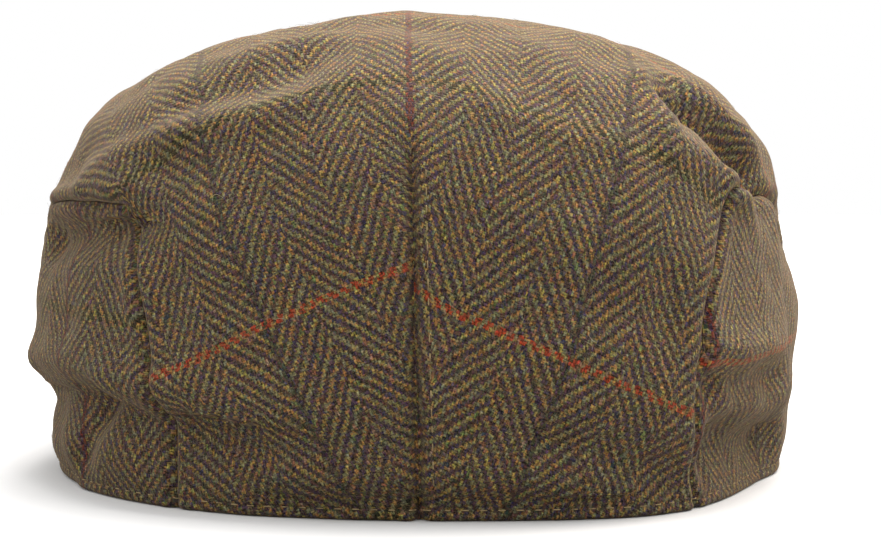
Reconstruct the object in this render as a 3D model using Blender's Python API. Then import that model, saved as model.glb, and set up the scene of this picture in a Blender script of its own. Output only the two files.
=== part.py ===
"""A tweed flat cap: a one-piece top with a centre-back dart, two side panels and a stiff peak.

Metres, +Z up, the peak towards +Y, resting on its hem at z = 0. An azimuth is in degrees round the
head opening: 0 at the centre back, 90 at the right side as seen from behind, -90 at the left and 180
at the front. The crown is drawn over a unit disc: its centre is the crest and its edge is the hem. The
shape's functions take arrays, so that a whole sheet of cloth is worked out at once.
"""

import math
from collections import namedtuple

import bmesh
import bpy
import numpy as np

# The head opening, measured outside the hem. Its right back corner is fuller than an oval.
OPENING_WIDTH = 0.188
OPENING_LENGTH = 0.188
CORNER_SWELL = 0.0085
CORNER_AZIMUTH = 33
CORNER_SPREAD = 20

# The crown.
CROWN_HEIGHT = 0.116
CREST_SETBACK = 0.012
CREST_SIDESTEP = 0.002
CREST_ROUNDNESS = 1.8
BELLY_HEIGHT = 0.34
CLOTH_THICKNESS = 0.0022
SEAM_GAP = 0.0003
SEAM_PINCH = 0.0012

# The cloth stands upright over this height at its hem. The dart runs up from the hem at this azimuth,
# over this share of the top's length. The top's middle line drifts sideways by this share of the disc's
# radius on its way, and is straight again from the second share of the top's length.
HEM_HEIGHT = 0.007
DART_AZIMUTH = 0.5
DART_END = 0.31
DART_SHIFT = -0.017
DART_SHIFT_END = 0.8

# The peak.
PEAK_CORNER = 112
PEAK_REACH = 0.062
PEAK_MARGIN = 0.013
PEAK_LIP = 0.003
PEAK_THICKNESS = 0.004
PEAK_FRONT_LIFT = 0.027
PEAK_RIM_LIFT = 0.010
PEAK_CAMBER = 0.003
PEAK_CRESCENT = 1.45

# The cells that each piece is divided into.
TOP_COLUMNS = 46
TAIL_ROWS = 14
SIDE_ROWS = 22
PEAK_COLUMNS = 36
PEAK_ROWS = 6

# The height of the top's front edge over the underside of the peak.
CLEAR_OF_PEAK = PEAK_THICKNESS + SEAM_GAP

# Slopes are measured over a short step on the disc, and sections are solved by halving.
DISC_STEP = 0.003
HALVINGS = 26

TWEED_COLOUR = (0.110, 0.078, 0.046, 1.0)
TWEED_ROUGHNESS = 0.95

# The crown's upright sections. A high shoulder power gives a steep wall and a tight shoulder, a low
# one a long slope. The belly is how far the wall swells, as a share of the section's reach.
Section = namedtuple("Section", "azimuth shoulder belly")
SECTIONS = (
    Section(azimuth=-180, shoulder=1.45, belly=0.000),
    Section(azimuth=-145, shoulder=2.5, belly=0.040),
    Section(azimuth=-118, shoulder=4.6, belly=0.055),
    Section(azimuth=-90, shoulder=5.7, belly=0.030),
    Section(azimuth=-45, shoulder=7.0, belly=0.046),
    Section(azimuth=-25, shoulder=6.4, belly=0.058),
    Section(azimuth=0, shoulder=7.3, belly=0.068),
    Section(azimuth=24, shoulder=5.9, belly=0.058),
    Section(azimuth=48, shoulder=6.9, belly=0.050),
    Section(azimuth=90, shoulder=6.1, belly=0.040),
    Section(azimuth=118, shoulder=4.3, belly=0.055),
    Section(azimuth=145, shoulder=2.35, belly=0.040),
    Section(azimuth=180, shoulder=1.45, belly=0.000),
)

# The seam between the top and a side panel: up the back from the hem to a corner, then forward and
# down to the peak's corner. The corner's height is a share of the crown's. The lean is the power by
# which the seam turns outwards near its corner, and the sag how many degrees it bows in halfway up.
Seam = namedtuple("Seam", "side hem_azimuth corner_azimuth corner_height lean sag fall")
LEFT_SEAM = Seam(-1, hem_azimuth=37.2, corner_azimuth=46.5, corner_height=0.605, lean=2.4, sag=0, fall=3.8)
RIGHT_SEAM = Seam(1, hem_azimuth=41, corner_azimuth=47.5, corner_height=0.64, lean=2.4, sag=4.5, fall=2.8)

# Folds and dents. A path runs over the crown through points of azimuth and height share. The half
# width, the depth and the step are shares of the crown's height, and outwards is positive. A step
# lifts the cloth above the path and sinks it below, as a ledge. A fold fades out over this share of
# its path at each end.
FOLD_FADE = 0.2
Fold = namedtuple("Fold", "name path half_width depth step")
FOLDS = (
    Fold("left_ledge", ((-62, 0.63), (-47, 0.726), (-34, 0.765), (-20, 0.815), (-8, 0.88)), 0.042, 0.021, 0.000),
    Fold("top_left_hollow", ((-46, 0.80), (-41, 0.83), (-30, 0.87), (-16, 0.92)), 0.045, -0.016, 0.000),
    Fold("top_left_ridge", ((-47, 0.88), (-38, 0.92), (-24, 0.96)), 0.055, 0.014, 0.000),
    Fold("left_belly", ((-104, 0.18), (-80, 0.2), (-58, 0.22), (-38, 0.2), (-8, 0.18)), 0.050, -0.006, 0.026),
    Fold("left_belly_crease", ((-80, 0.22), (-62, 0.22), (-48, 0.20), (-28, 0.18)), 0.034, -0.018, 0.000),
    Fold("left_hem_crease", ((-49, 0.25), (-55, 0.15), (-62, 0.03)), 0.035, -0.022, 0.000),
    Fold("left_hem_tuck", ((-96, 0.00), (-78, 0.00), (-60, 0.00)), 0.060, -0.016, 0.000),
    Fold("left_seam_hollow", ((-78, 0.53), (-66, 0.555), (-56, 0.58), (-34, 0.60)), 0.042, -0.022, 0.026),
    Fold("right_ridge", ((50, 0.92), (41, 0.82), (38, 0.74), (47, 0.66), (60, 0.53)), 0.034, 0.024, 0.000),
    Fold("right_pit", ((48, 0.88), (50, 0.82), (54, 0.77), (59, 0.71), (66, 0.63)), 0.050, -0.036, 0.034),
    Fold("back_right_crease", ((8, 0.83), (16, 0.795), (24, 0.76), (34, 0.70)), 0.032, 0.012, 0.000),
    Fold("right_seam_hollow", ((66, 0.56), (84, 0.50), (104, 0.40)), 0.090, -0.018, 0.000),
    Fold("right_panel_hollow", ((36, 0.29), (44, 0.28), (54, 0.265), (72, 0.25)), 0.040, -0.016, 0.026),
    Fold("right_hem_hollow", ((38, 0.16), (48, 0.15), (58, 0.13), (78, 0.11)), 0.062, -0.040, 0.032),
    Fold("back_right_hollow", ((20, 0.45), (28, 0.44), (36, 0.43)), 0.080, -0.014, 0.000),
    Fold("back_low_crease", ((10, 0.18), (22, 0.145), (30, 0.11), (40, 0.03)), 0.045, -0.018, 0.000),
    Fold("back_hem_turn", ((-26, 0.05), (-8, 0.05), (14, 0.05), (34, 0.05)), 0.038, -0.004, 0.010),
)


def mixed(first, second, share):
    return first + (second - first) * share


def blend(share):
    """Runs smoothly from 0 at 0 or less to 1 at 1 or more."""
    share = np.clip(share, 0.0, 1.0)
    return share * share * (3 - 2 * share)


def dot(first, second):
    return np.sum(first * second, axis=-1)


def tall(values):
    """Values as a column, to multiply vectors by."""
    return np.asarray(values)[..., None]


def unit(vectors):
    return vectors / np.maximum(tall(np.sqrt(dot(vectors, vectors))), 1e-12)


def level(azimuth):
    """The level unit vector at each azimuth."""
    angle = np.radians(azimuth)
    return np.stack((np.sin(angle), -np.cos(angle), 0 * angle), axis=-1)


def upward(height):
    height = np.asarray(height)
    return np.stack((0 * height, 0 * height, height), axis=-1)


def hem_reach(azimuth):
    """How far the opening's edge is from its centre."""
    across, along, _ = np.moveaxis(level(azimuth), -1, 0)
    oval = 1 / np.hypot(across / (OPENING_WIDTH / 2), along / (OPENING_LENGTH / 2))
    return oval + CORNER_SWELL * np.exp(-(((azimuth - CORNER_AZIMUTH) / CORNER_SPREAD) ** 2))


def forward_share(azimuth):
    """0 from the peak's corners backwards, 1 at the centre front."""
    share = (np.abs(azimuth) - PEAK_CORNER) / (180 - PEAK_CORNER)
    return np.sin(math.pi / 2 * np.clip(share, 0.0, 1.0))


def rim_reach(azimuth):
    """How far the peak's rim is from the opening's centre."""
    return hem_reach(azimuth) + mixed(PEAK_LIP, PEAK_REACH, forward_share(azimuth) ** PEAK_CRESCENT)


def crown_reach(azimuth):
    """How far the crown's lower edge is from the opening's centre."""
    return hem_reach(azimuth) + (PEAK_REACH - PEAK_MARGIN) * forward_share(azimuth) ** PEAK_CRESCENT


def peak_underside(azimuth, share):
    """Points under the peak, from share 0 at the opening to 1 at the rim."""
    reach = mixed(hem_reach(azimuth), rim_reach(azimuth), share)
    lift = mixed(PEAK_FRONT_LIFT, PEAK_RIM_LIFT, share) + PEAK_CAMBER * 4 * share * (1 - share)
    return level(azimuth) * tall(reach) + upward(lift * forward_share(azimuth) ** 2)


def crown_base(azimuth):
    """Points of the crown's lower edge: on the floor, or level with the peak's underside."""
    hem = hem_reach(azimuth)
    return peak_underside(azimuth, (crown_reach(azimuth) - hem) / (rim_reach(azimuth) - hem))


def section_at(azimuth):
    """The shoulder power and the belly, eased between the rows of SECTIONS."""
    azimuth = (np.asarray(azimuth, dtype=float) + 180) % 360 - 180
    places = np.array([section.azimuth for section in SECTIONS])
    row = np.clip(np.searchsorted(places, azimuth, side="right") - 1, 0, len(places) - 2)
    share = blend((azimuth - places[row]) / (places[row + 1] - places[row]))
    shoulders = np.array([section.shoulder for section in SECTIONS])
    bellies = np.array([section.belly for section in SECTIONS])
    return mixed(shoulders[row], shoulders[row + 1], share), mixed(bellies[row], bellies[row + 1], share)


def rise_at(azimuth, height):
    """The rise, from 0 at the base to 1 at the crest, where a section reaches a share of its height."""
    shoulder, _ = section_at(azimuth)
    out = (1 - height**shoulder) ** (1 / CREST_ROUNDNESS)
    return np.arctan2(height, out) / (math.pi / 2)


def section_shares(azimuth, rise):
    """How far out and up a section's curve, out^roundness + up^shoulder = 1, is at a rise."""
    shoulder, belly = section_at(azimuth)
    cosine, sine = np.cos(rise * math.pi / 2), np.sin(rise * math.pi / 2)
    cosine = np.maximum(cosine, 0.0)
    low, high = 0 * cosine, 0 * cosine + 1.5
    for _ in range(HALVINGS):
        size = (low + high) / 2
        outside = (size * cosine) ** CREST_ROUNDNESS + (size * sine) ** shoulder > 1
        low, high = np.where(outside, low, size), np.where(outside, size, high)
    out, up = size * cosine, np.minimum(size * sine, 1.0)
    swollen = np.sin(math.pi * up ** (math.log(0.5) / math.log(BELLY_HEIGHT))) ** 2
    return out * (1 + belly * swollen), up


def polar(disc):
    """The azimuth and the rise of points of the disc."""
    radius = np.minimum(np.hypot(disc[..., 0], disc[..., 1]), 1.0)
    return np.degrees(np.arctan2(disc[..., 0], -disc[..., 1])), 1 - radius


def on_disc(azimuth, rise):
    return level(azimuth)[..., :2] * tall(1 - rise)


def smooth_crown(disc):
    """The crown's outer face without its folds, over points of the disc."""
    azimuth, rise = polar(disc)
    base = crown_base(azimuth)
    crest = np.array((CREST_SIDESTEP, -CREST_SETBACK, CROWN_HEIGHT))
    out, up = section_shares(azimuth, rise)
    return crest + (base - crest) * np.stack((out, out, 1 - up), axis=-1)


def facing(surface, disc):
    """The outward direction of a surface, from short steps inwards and sideways over the disc."""
    centred = tall(np.hypot(disc[..., 0], disc[..., 1]) < 10 * DISC_STEP)
    inward = np.where(centred, (0.0, 1.0), -unit(disc))
    sideways = np.stack((-inward[..., 1], inward[..., 0]), axis=-1)
    here = surface(disc)
    along = surface(disc + sideways * DISC_STEP) - surface(disc - sideways * DISC_STEP)
    normal = unit(np.cross(surface(disc + inward * DISC_STEP) - here, along))
    turned = dot(normal, here - np.array((0.0, 0.0, CROWN_HEIGHT / 3))) < 0
    return np.where(tall(turned), -normal, normal)


def along_path(points, path):
    """The vectors to points from their nearest points of a path, and how far along those are."""
    gaps, places = [], []
    for leg, (start, end) in enumerate(zip(path, path[1:])):
        run = end - start
        share = np.clip(dot(points - start, run) / dot(run, run), 0.0, 1.0)
        gaps.append(points - start - run * tall(share))
        places.append((leg + share) / (len(path) - 1))
    nearest = np.argmin([dot(gap, gap) for gap in gaps], axis=0)[None]
    gap = np.take_along_axis(np.array(gaps), nearest[..., None], axis=0)[0]
    return gap, np.take_along_axis(np.array(places), nearest, axis=0)[0]


def fold_height(points):
    """How far all the folds together move points of the crown outwards."""
    moved = 0.0
    for fold in FOLDS:
        azimuths, heights = np.array(fold.path, dtype=float).T
        gap, place = along_path(points, smooth_crown(on_disc(azimuths, rise_at(azimuths, heights))))
        across = np.sqrt(dot(gap, gap)) / (fold.half_width * CROWN_HEIGHT)
        above = np.where(gap[..., 2] > 0, across, -across)
        fade = blend(place / FOLD_FADE) * blend((1 - place) / FOLD_FADE)
        shape = fold.depth * np.exp(-(across**2)) + fold.step * above * np.exp((1 - across**2) / 2)
        moved = moved + fade * CROWN_HEIGHT * shape
    return moved


def crown(disc):
    """The crown's outer face, with its folds, over points of the disc."""
    points = smooth_crown(disc)
    normals = facing(smooth_crown, disc)
    normals[..., 2] *= blend(points[..., 2] / HEM_HEIGHT)
    return points + unit(normals) * tall(fold_height(points))


def cloth_direction(disc, points):
    """The way out through the cloth: level at the hem, along the peak at the front, else the normal."""
    azimuth, _ = polar(disc)
    edge = unit(peak_underside(azimuth, 0.9) - peak_underside(azimuth, 0.5))
    above = points[..., 2] - crown_base(azimuth)[..., 2]
    return unit(mixed(edge, facing(crown, disc), tall(blend(above / HEM_HEIGHT - 1))))


def seam_spots(seam, row):
    """The disc points of a seam at rows from 0 at the hem to TAIL_ROWS + SIDE_ROWS at the peak."""
    tail = np.clip(row / TAIL_ROWS, 0.0, 1.0)
    side = np.clip((row - TAIL_ROWS) / SIDE_ROWS, 0.0, 1.0)
    falling = mixed(seam.corner_height, CLEAR_OF_PEAK / CROWN_HEIGHT, side**seam.fall)
    height = np.where(row <= TAIL_ROWS, seam.corner_height * tail, falling)
    leaning = mixed(seam.hem_azimuth, seam.corner_azimuth, tail**seam.lean)
    azimuth = mixed(leaning - seam.sag * np.sin(math.pi * tail), PEAK_CORNER, side)
    return on_disc(seam.side * azimuth, rise_at(seam.side * azimuth, height))


def back_hem_spots(share):
    """The disc points of the top's back hem, with the dart's foot in the middle."""
    even = mixed(-LEFT_SEAM.hem_azimuth, RIGHT_SEAM.hem_azimuth, share)
    turn = DART_AZIMUTH - (RIGHT_SEAM.hem_azimuth - LEFT_SEAM.hem_azimuth) / 2
    return on_disc(even + turn * 4 * share * (1 - share), 0 * share)


def front_edge_spots(share):
    """The disc points where the top just clears the peak, from its left corner to its right one."""
    azimuth = mixed(-PEAK_CORNER, PEAK_CORNER - 360, share)
    azimuth = np.where(azimuth < -180, azimuth + 360, azimuth)
    base, hem, rim = crown_base(azimuth)[..., 2], hem_reach(azimuth), rim_reach(azimuth)
    peak_top = base
    for _ in range(4):
        height = (peak_top - base + CLEAR_OF_PEAK) / (CROWN_HEIGHT - base)
        spots = on_disc(azimuth, rise_at(azimuth, height))
        edge = smooth_crown(spots)
        reach = np.hypot(edge[..., 0], edge[..., 1])
        peak_top = peak_underside(azimuth, (reach - hem) / (rim - hem))[..., 2]
    return spots


def between_edges(left, right, near, far, across, along):
    """Disc points between four edges, each a function of the share along it."""
    start, end = 0 * across, 0 * across + 1
    sides = mixed(left(along), right(along), tall(across))
    ends = mixed(near(across), far(across), tall(along))
    near_line = mixed(left(start), right(start), tall(across))
    far_line = mixed(left(end), right(end), tall(across))
    return sides + ends - mixed(near_line, far_line, tall(along))


def top_spots(across, along):
    """Disc points of the top: across from the left seam to the right, along from the hem to the front.

    Its middle column runs from the dart's foot to the centre front, a little to the left on the way.
    """
    rows = TAIL_ROWS + SIDE_ROWS
    left = lambda share: seam_spots(LEFT_SEAM, share * rows)
    right = lambda share: seam_spots(RIGHT_SEAM, share * rows)
    spots = between_edges(left, right, back_hem_spots, front_edge_spots, across, along)
    middle = between_edges(left, right, back_hem_spots, front_edge_spots, 0 * across + 0.5, along)
    straight = mixed(math.sin(math.radians(DART_AZIMUTH)), 0.0, along)
    straight = straight + DART_SHIFT * np.sin(math.pi * np.clip(along / DART_SHIFT_END, 0, 1))
    spots[..., 0] += (straight - middle[..., 0]) * 4 * across * (1 - across)
    return spots


def side_spots(seam, across, along):
    """Disc points of a side panel: across from its back seam to the peak, along from the hem up."""
    corner = seam.side * PEAK_CORNER
    foot = rise_at(corner, CLEAR_OF_PEAK / CROWN_HEIGHT)
    back = lambda share: seam_spots(seam, share * TAIL_ROWS)
    front = lambda share: on_disc(corner + 0 * share, foot * share)
    hem = lambda share: on_disc(seam.side * mixed(seam.hem_azimuth, PEAK_CORNER, share), 0 * share)
    upper = lambda share: seam_spots(seam, TAIL_ROWS + share * SIDE_ROWS)
    return between_edges(back, front, hem, upper, across, along)


def cloth_points(spots, inside, inset, pinch):
    """Points of a crown cloth: its outer face, or its inner face where inside is 1.

    The inset is the disc's direction into the piece, along which its seam edges draw back by half the
    gap between pieces. The pinch is how far seams and the dart are pulled in.
    """
    outer = crown(spots)
    direction = cloth_direction(spots, outer)
    size = tall(np.hypot(inset[..., 0], inset[..., 1]))
    step = crown(spots + inset / np.maximum(size, 1e-9) * DISC_STEP) - outer
    step = unit(step - direction * tall(dot(step, direction)))
    drawn = np.where(size > 0, step * (SEAM_GAP / 2), 0.0)
    return outer - direction * tall(pinch + CLOTH_THICKNESS * inside) + drawn


def slab(columns, rows):
    """A closed slab one unit square and one deep, cut into columns and rows."""
    shape = bmesh.new()
    bmesh.ops.create_grid(shape, x_segments=columns, y_segments=rows, size=0.5)
    bmesh.ops.translate(shape, vec=(0.5, 0.5, 0.0), verts=shape.verts[:])
    under = bmesh.ops.extrude_face_region(shape, geom=shape.faces[:])["geom"]
    under = [item for item in under if isinstance(item, bmesh.types.BMVert)]
    bmesh.ops.translate(shape, vec=(0.0, 0.0, 1.0), verts=under)
    return shape


def bent(name, shape, place, material):
    """Bends a slab by a function of its across, along and inside shares, and makes it an object."""
    shares = np.array([vertex.co for vertex in shape.verts], dtype=float)
    for vertex, point in zip(shape.verts, place(*shares.T)):
        vertex.co = point
    bmesh.ops.recalc_face_normals(shape, faces=shape.faces[:])
    if shape.calc_volume(signed=True) < 0:
        bmesh.ops.reverse_faces(shape, faces=shape.faces[:])
    bmesh.ops.triangulate(shape, faces=shape.faces[:], quad_method="SHORT_EDGE")
    mesh = bpy.data.meshes.new(name)
    shape.to_mesh(mesh)
    shape.free()
    mesh.shade_smooth()
    mesh.set_sharp_from_angle(angle=math.radians(50))
    mesh.materials.append(material)
    return bpy.data.objects.new(name, mesh)


def towards_middle(share):
    return mixed(share, 0.5, DISC_STEP)


def crown_top(material):
    """The one-piece top. Its centre column is pinched from the hem to the dart's end."""
    rows = TAIL_ROWS + SIDE_ROWS

    def place(across, along, inside):
        spots = top_spots(across, along)
        column, row = np.round(across * TOP_COLUMNS), np.round(along * rows)
        edge = (column == 0) | (column == TOP_COLUMNS)
        on_dart = (column == TOP_COLUMNS // 2) & (row / rows < DART_END)
        inward = top_spots(towards_middle(across), along) - spots
        pinch = np.where((edge | on_dart) & (row > 0), SEAM_PINCH, 0.0)
        return cloth_points(spots, inside, np.where(tall(edge), inward, 0.0), pinch)

    return bent("crown_top", slab(TOP_COLUMNS, rows), place, material)


def side_panel(name, seam, material):
    def place(across, along, inside):
        spots = side_spots(seam, across, along)
        column, row = np.round(across * SIDE_ROWS), np.round(along * TAIL_ROWS)
        at_end = (column == 0) | (column == SIDE_ROWS)
        at_top = row == TAIL_ROWS
        inward_across = np.where(at_end, towards_middle(across), across)
        inward_along = np.where(at_top, towards_middle(along), along)
        inward = side_spots(seam, inward_across, inward_along) - spots
        on_seam = (column == 0) | at_top
        pinch = np.where(on_seam & (row > 0), SEAM_PINCH, 0.0)
        return cloth_points(spots, inside, np.where(tall(at_end | at_top), inward, 0.0), pinch)

    return bent(name, slab(SIDE_ROWS, TAIL_ROWS), place, material)


def peak(material):
    """The stiff peak, a crescent that the crown's front edge stands on."""

    def place(across, along, inside):
        start = PEAK_CORNER + math.degrees(SEAM_GAP / (OPENING_WIDTH / 2))
        azimuth = mixed(start, 360 - start, across)
        azimuth = np.where(azimuth > 180, azimuth - 360, azimuth)
        return peak_underside(azimuth, along) + upward(PEAK_THICKNESS * (1 - inside))

    return bent("peak", slab(PEAK_COLUMNS, PEAK_ROWS), place, material)


def tweed():
    material = bpy.data.materials.new("tweed")
    material.use_nodes = True
    shader = material.node_tree.nodes["Principled BSDF"]
    shader.inputs["Base Color"].default_value = TWEED_COLOUR
    shader.inputs["Roughness"].default_value = TWEED_ROUGHNESS
    shader.inputs["Metallic"].default_value = 0.0
    return material


def stand_on_base(pieces):
    """Places the pieces with the middle of the whole cap's underside at the origin."""
    corners = np.array([vertex.co for piece in pieces for vertex in piece.data.vertices])
    low, high = corners.min(axis=0), corners.max(axis=0)
    for piece in pieces:
        piece.location = (-(low[0] + high[0]) / 2, -(low[1] + high[1]) / 2, -low[2])


def main():
    for item in list(bpy.data.objects):
        bpy.data.objects.remove(item)
    collection = bpy.data.collections.new("flat_cap")
    bpy.context.scene.collection.children.link(collection)
    material = tweed()
    pieces = [
        crown_top(material),
        side_panel("side_panel_left", LEFT_SEAM, material),
        side_panel("side_panel_right", RIGHT_SEAM, material),
        peak(material),
    ]
    stand_on_base(pieces)
    for piece in pieces:
        collection.objects.link(piece)


main()
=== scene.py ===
"""A tweed flat cap in its cloth: herringbone with a windowpane check, seams, top-stitches and stray wool.

Metres, +Z up, the peak towards +Y, resting on its hem at z = 0. An azimuth is in degrees round the head
opening: 0 at the centre back, 90 at the right side as seen from behind, -90 at the left and 180 at the
front. The crown is drawn over a unit disc: its centre is the crest and its edge is the hem. The shape's
functions take arrays, so that a whole sheet of cloth is worked out at once.
"""

import math
from collections import namedtuple

import bmesh
import bpy
import numpy as np
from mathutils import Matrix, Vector, noise


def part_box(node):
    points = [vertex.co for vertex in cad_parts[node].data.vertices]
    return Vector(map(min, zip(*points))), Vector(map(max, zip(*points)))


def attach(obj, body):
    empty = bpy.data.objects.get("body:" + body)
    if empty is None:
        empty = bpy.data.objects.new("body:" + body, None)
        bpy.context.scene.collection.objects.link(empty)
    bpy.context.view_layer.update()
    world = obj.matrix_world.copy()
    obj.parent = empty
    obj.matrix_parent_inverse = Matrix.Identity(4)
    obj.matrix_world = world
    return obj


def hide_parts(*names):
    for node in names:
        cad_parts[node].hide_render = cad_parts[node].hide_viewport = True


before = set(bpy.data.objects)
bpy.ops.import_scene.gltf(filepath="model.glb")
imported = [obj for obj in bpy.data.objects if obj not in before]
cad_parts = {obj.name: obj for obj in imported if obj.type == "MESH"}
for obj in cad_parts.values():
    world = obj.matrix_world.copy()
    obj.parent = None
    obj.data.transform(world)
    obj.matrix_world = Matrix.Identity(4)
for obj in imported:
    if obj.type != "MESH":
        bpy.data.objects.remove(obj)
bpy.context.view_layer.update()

bl_info = {
    "name": "Tweed Flat Cap",
    "version": (1, 0, 0),
    "blender": (4, 5, 0),
    "location": "View3D > Sidebar > Flat Cap",
    "description": "Builds a tweed flat cap from sewn panels",
    "category": "Add Mesh",
}

# The head opening, measured outside the hem. Its right back corner is fuller than an oval.
OPENING_WIDTH = 0.188
OPENING_LENGTH = 0.188
CORNER_SWELL = 0.0085
CORNER_AZIMUTH = 33
CORNER_SPREAD = 20

# The crown.
CROWN_HEIGHT = 0.116
CREST_SETBACK = 0.012
CREST_SIDESTEP = 0.002
CREST_ROUNDNESS = 1.8
BELLY_HEIGHT = 0.34
CLOTH_THICKNESS = 0.0022
SEAM_GAP = 0.0003
HEM_HEIGHT = 0.007

# The dart runs up from the hem at this azimuth, over this share of the top's length.
DART_AZIMUTH = 0.5
DART_END = 0.30
DART_SHIFT = -0.017
DART_SHIFT_END = 0.8

# The peak. Its slope under the crown is measured between two shares of its reach, and its rim is rounded
# over by this share of half its thickness.
PEAK_CORNER = 112
PEAK_REACH = 0.062
PEAK_MARGIN = 0.013
PEAK_LIP = 0.003
PEAK_THICKNESS = 0.004
PEAK_FRONT_LIFT = 0.027
PEAK_RIM_LIFT = 0.010
PEAK_CAMBER = 0.003
PEAK_CRESCENT = 1.45
PEAK_SLOPE_SHARES = (0.5, 0.9)
PEAK_RIM_ROUNDNESS = 0.98
CLEAR_OF_PEAK = PEAK_THICKNESS + SEAM_GAP

# The share of the top's length that lies behind the side seams' corners.
TAIL_SHARE = 14 / 36

# The cells that each cloth is divided into. They are this much closer together at its edges.
TOP_CELLS = (216, 152)
SIDE_CELLS = (132, 84)
PEAK_CELLS = (168, 26)
EDGE_CLOSENESS = 0.78

# Slopes are measured over a short step on the disc. Sections are solved by halving, from this size, and
# the top's front edge in a few rounds. The crown's outer face looks away from a point inside it, and an
# edge that turns by more degrees than this looks sharp.
DISC_STEP = 0.003
HALVINGS = 26
WIDEST_SECTION = 1.5
EDGE_ROUNDS = 4
HEART = np.array((0.0, 0.0, CROWN_HEIGHT / 3))
SHARP_ANGLE = 60

# The crown's upright sections. A high shoulder power gives a steep wall and a tight shoulder, a low
# one a long slope. The belly is how far the wall swells, as a share of the section's reach.
Section = namedtuple("Section", "azimuth shoulder belly")
SECTIONS = (
    Section(azimuth=-180, shoulder=1.45, belly=0.000),
    Section(azimuth=-145, shoulder=2.5, belly=0.040),
    Section(azimuth=-118, shoulder=4.6, belly=0.055),
    Section(azimuth=-90, shoulder=5.7, belly=0.030),
    Section(azimuth=-45, shoulder=7.0, belly=0.046),
    Section(azimuth=-25, shoulder=6.4, belly=0.058),
    Section(azimuth=0, shoulder=7.3, belly=0.068),
    Section(azimuth=24, shoulder=5.9, belly=0.058),
    Section(azimuth=48, shoulder=6.9, belly=0.050),
    Section(azimuth=90, shoulder=6.1, belly=0.040),
    Section(azimuth=118, shoulder=4.3, belly=0.055),
    Section(azimuth=145, shoulder=2.35, belly=0.040),
    Section(azimuth=180, shoulder=1.45, belly=0.000),
)

# The seam between the top and a side panel: up the back from the hem to a corner, then forward and
# down to the peak's corner. The corner's height is a share of the crown's. The lean is the power by
# which the seam turns outwards near its corner, and the sag how many degrees it bows in halfway up.
Seam = namedtuple("Seam", "side hem_azimuth corner_azimuth corner_height lean sag fall")
LEFT_SEAM = Seam(-1, hem_azimuth=37.2, corner_azimuth=46.5, corner_height=0.605, lean=2.4, sag=0, fall=3.8)
RIGHT_SEAM = Seam(1, hem_azimuth=41, corner_azimuth=47.5, corner_height=0.64, lean=2.4, sag=4.5, fall=2.8)

# Folds and dents. A path runs over the crown through points of azimuth and height share. The half
# width, the depth and the step are shares of the crown's height, and outwards is positive. A step
# lifts the cloth above the path and sinks it below, as a ledge. A fold fades out over this share of
# its path at each end.
FOLD_FADE = 0.2
Fold = namedtuple("Fold", "name path half_width depth step")
FOLDS = (
    Fold(
        "left_ledge", ((-62, 0.63), (-47, 0.726), (-34, 0.765), (-20, 0.815), (-8, 0.88)), 0.042, 0.021, 0.0
    ),
    Fold("top_left_hollow", ((-46, 0.80), (-41, 0.83), (-30, 0.87), (-16, 0.92)), 0.045, -0.016, 0.000),
    Fold("top_left_ridge", ((-47, 0.88), (-38, 0.92), (-24, 0.96)), 0.055, 0.014, 0.000),
    Fold(
        "left_belly", ((-104, 0.18), (-80, 0.2), (-58, 0.22), (-38, 0.2), (-8, 0.18)), 0.050, -0.006, 0.026
    ),
    Fold("left_belly_crease", ((-80, 0.22), (-62, 0.22), (-48, 0.20), (-28, 0.18)), 0.034, -0.018, 0.000),
    Fold("left_hem_crease", ((-49, 0.25), (-55, 0.15), (-62, 0.03)), 0.035, -0.022, 0.000),
    Fold("left_hem_tuck", ((-96, 0.00), (-78, 0.00), (-60, 0.00)), 0.060, -0.016, 0.000),
    Fold("left_seam_hollow", ((-78, 0.53), (-66, 0.555), (-56, 0.58), (-34, 0.60)), 0.042, -0.022, 0.026),
    Fold("right_ridge", ((50, 0.92), (41, 0.82), (38, 0.74), (47, 0.66), (60, 0.53)), 0.034, 0.024, 0.000),
    Fold("right_pit", ((48, 0.88), (50, 0.82), (54, 0.77), (59, 0.71), (66, 0.63)), 0.050, -0.036, 0.034),
    Fold("back_right_crease", ((8, 0.83), (16, 0.795), (24, 0.76), (34, 0.70)), 0.032, 0.012, 0.000),
    Fold("right_seam_hollow", ((66, 0.56), (84, 0.50), (104, 0.40)), 0.090, -0.018, 0.000),
    Fold("right_panel_hollow", ((36, 0.29), (44, 0.28), (54, 0.265), (72, 0.25)), 0.040, -0.016, 0.026),
    Fold("right_hem_hollow", ((38, 0.16), (48, 0.15), (58, 0.13), (78, 0.11)), 0.062, -0.040, 0.032),
    Fold("back_right_hollow", ((20, 0.45), (28, 0.44), (36, 0.43)), 0.080, -0.014, 0.000),
    Fold("back_low_crease", ((10, 0.18), (22, 0.145), (30, 0.11), (40, 0.03)), 0.045, -0.018, 0.000),
    Fold("back_hem_turn", ((-26, 0.05), (-8, 0.05), (14, 0.05), (34, 0.05)), 0.038, -0.004, 0.010),
)

# The sewing, in metres along the cloth: how deep and wide a seam sinks, how far the inner face gives way
# under it, and how the allowance fills out the cloth beside it.
SEAM_DEPTH = 0.0012
SEAM_WIDTH = 0.0011
SEAM_GIVE = 0.0008
DART_DEPTH = 0.0030
DART_WIDTH = 0.0013
SEAM_PUFF = 0.0004
PUFF_AWAY = 0.0036
PUFF_WIDTH = 0.0018
HEM_ROUNDING = 0.0011
HEM_STITCH_HEIGHT = 0.0025
DART_STITCH_AWAY = 0.0034
STITCH_DENT = 0.00035
STITCH_DENT_WIDTH = 0.0007
DART_APEX_FADE = 0.012

# The cloth's own waves, by how many there are in a metre.
WAVE_WIDE = 55.0
WAVE_WIDE_DEPTH = 0.0013
WAVE_NARROW = 130.0
WAVE_NARROW_DEPTH = 0.0006

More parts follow.
